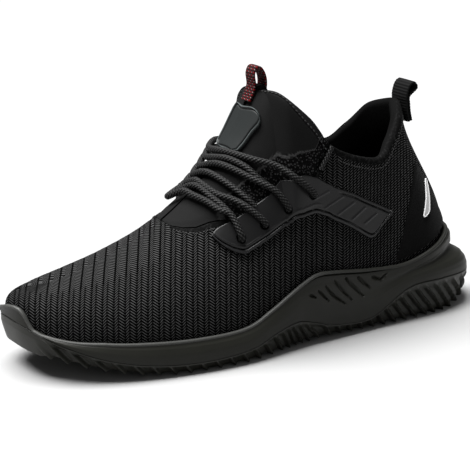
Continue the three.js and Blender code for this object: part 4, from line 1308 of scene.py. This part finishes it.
for source, output, target, name in (
    (entry, "Path", curve, "Mesh"), (curve, "Curve", spots, "Curve"),
    (entry, "Pitch", spots, "Length"), (entry, "Thickness", shape, "X"),
    (entry, "Thickness", shape, "Y"), (entry, "Length", shape, "Z"),
    (spots, "Points", placed, "Points"), (spots, "Rotation", placed, "Rotation"),
    (bead_mesh, "Mesh", placed, "Instance"), (shape, "Vector", placed, "Scale"),
    (placed, "Instances", solid, "Geometry"), (solid, "Geometry", painted, "Geometry"),
    (painted, "Geometry", leave, "Stitches"),
):
    tree.links.new(source.outputs[output], target.inputs[name])


def below_edge(side, rows, edge_share, drop):
    """Points a few millimetres down the wall from an edge."""
    near = edge_share - 0.05
    scale = np.linalg.norm(skin(side, rows, edge_share) - skin(side, rows, near), axis=-1)
    return skin(side, rows, edge_share - 0.05 * drop / scale, stitch_sink)


def stitch_row(name, rows, edge_of, drop, sizes):
    """Stitches below an edge: back along the rows on the lateral side, then the medial side."""
    points = np.concatenate([
        below_edge(-1, rows[::-1], edge_of(-1, rows[::-1]), drop),
        below_edge(1, rows, edge_of(1, rows), drop),
    ])
    path = bpy.data.meshes.new(name + "_path")
    path.from_pydata((points * 0.001).tolist(), [(i, i + 1) for i in range(len(points) - 1)], [])
    piece = bpy.data.objects.new(name, path)
    bpy.context.scene.collection.objects.link(piece)
    modifier = piece.modifiers.new("stitches", "NODES")
    modifier.node_group = tree
    for identifier, value in zip(stitch_inputs, sizes):
        modifier[identifier] = value * 0.001
    evaluated = piece.evaluated_get(bpy.context.evaluated_depsgraph_get())
    mesh = bpy.data.meshes.new_from_object(evaluated)
    piece.modifiers.clear()
    piece.data = mesh
    mesh.shade_smooth()
    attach(piece, "root")


def collar_reach(side, rows):
    return np.ones(rows.shape)


def throat_reach(side, rows):
    return throat_share(rows)


hem_rows = np.linspace(8.06, 10.6, 60)
collar_rows = np.linspace(11.05, 15.98, 90)[::-1]
throat_rows = np.linspace(5.12, 6.15, 30)
stitch_row("tongue_hem_stitches", hem_rows, tongue_reach, 7, (2.6, 1.7, 0.8))
stitch_row("collar_stitches", collar_rows, collar_reach, 6.5, (2.0, 1.3, 0.9))
stitch_row("throat_stitches", throat_rows, throat_reach, 4.5, (2.0, 1.3, 0.9))

rope_rows = np.linspace(10.84, 10.3, 9)
for side, word in ((-1, "lateral"), (1, "medial")):
    line = skin(side, rope_rows, throat_share(rope_rows) - 0.004, 0.9)
    points, faces, uvs = round_cord(line, 1.3)
    rope = make_piece(f"side_seam_{word}", points, faces, [braid.material], uvs=uvs, sharp=60)
    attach(rope, "root")
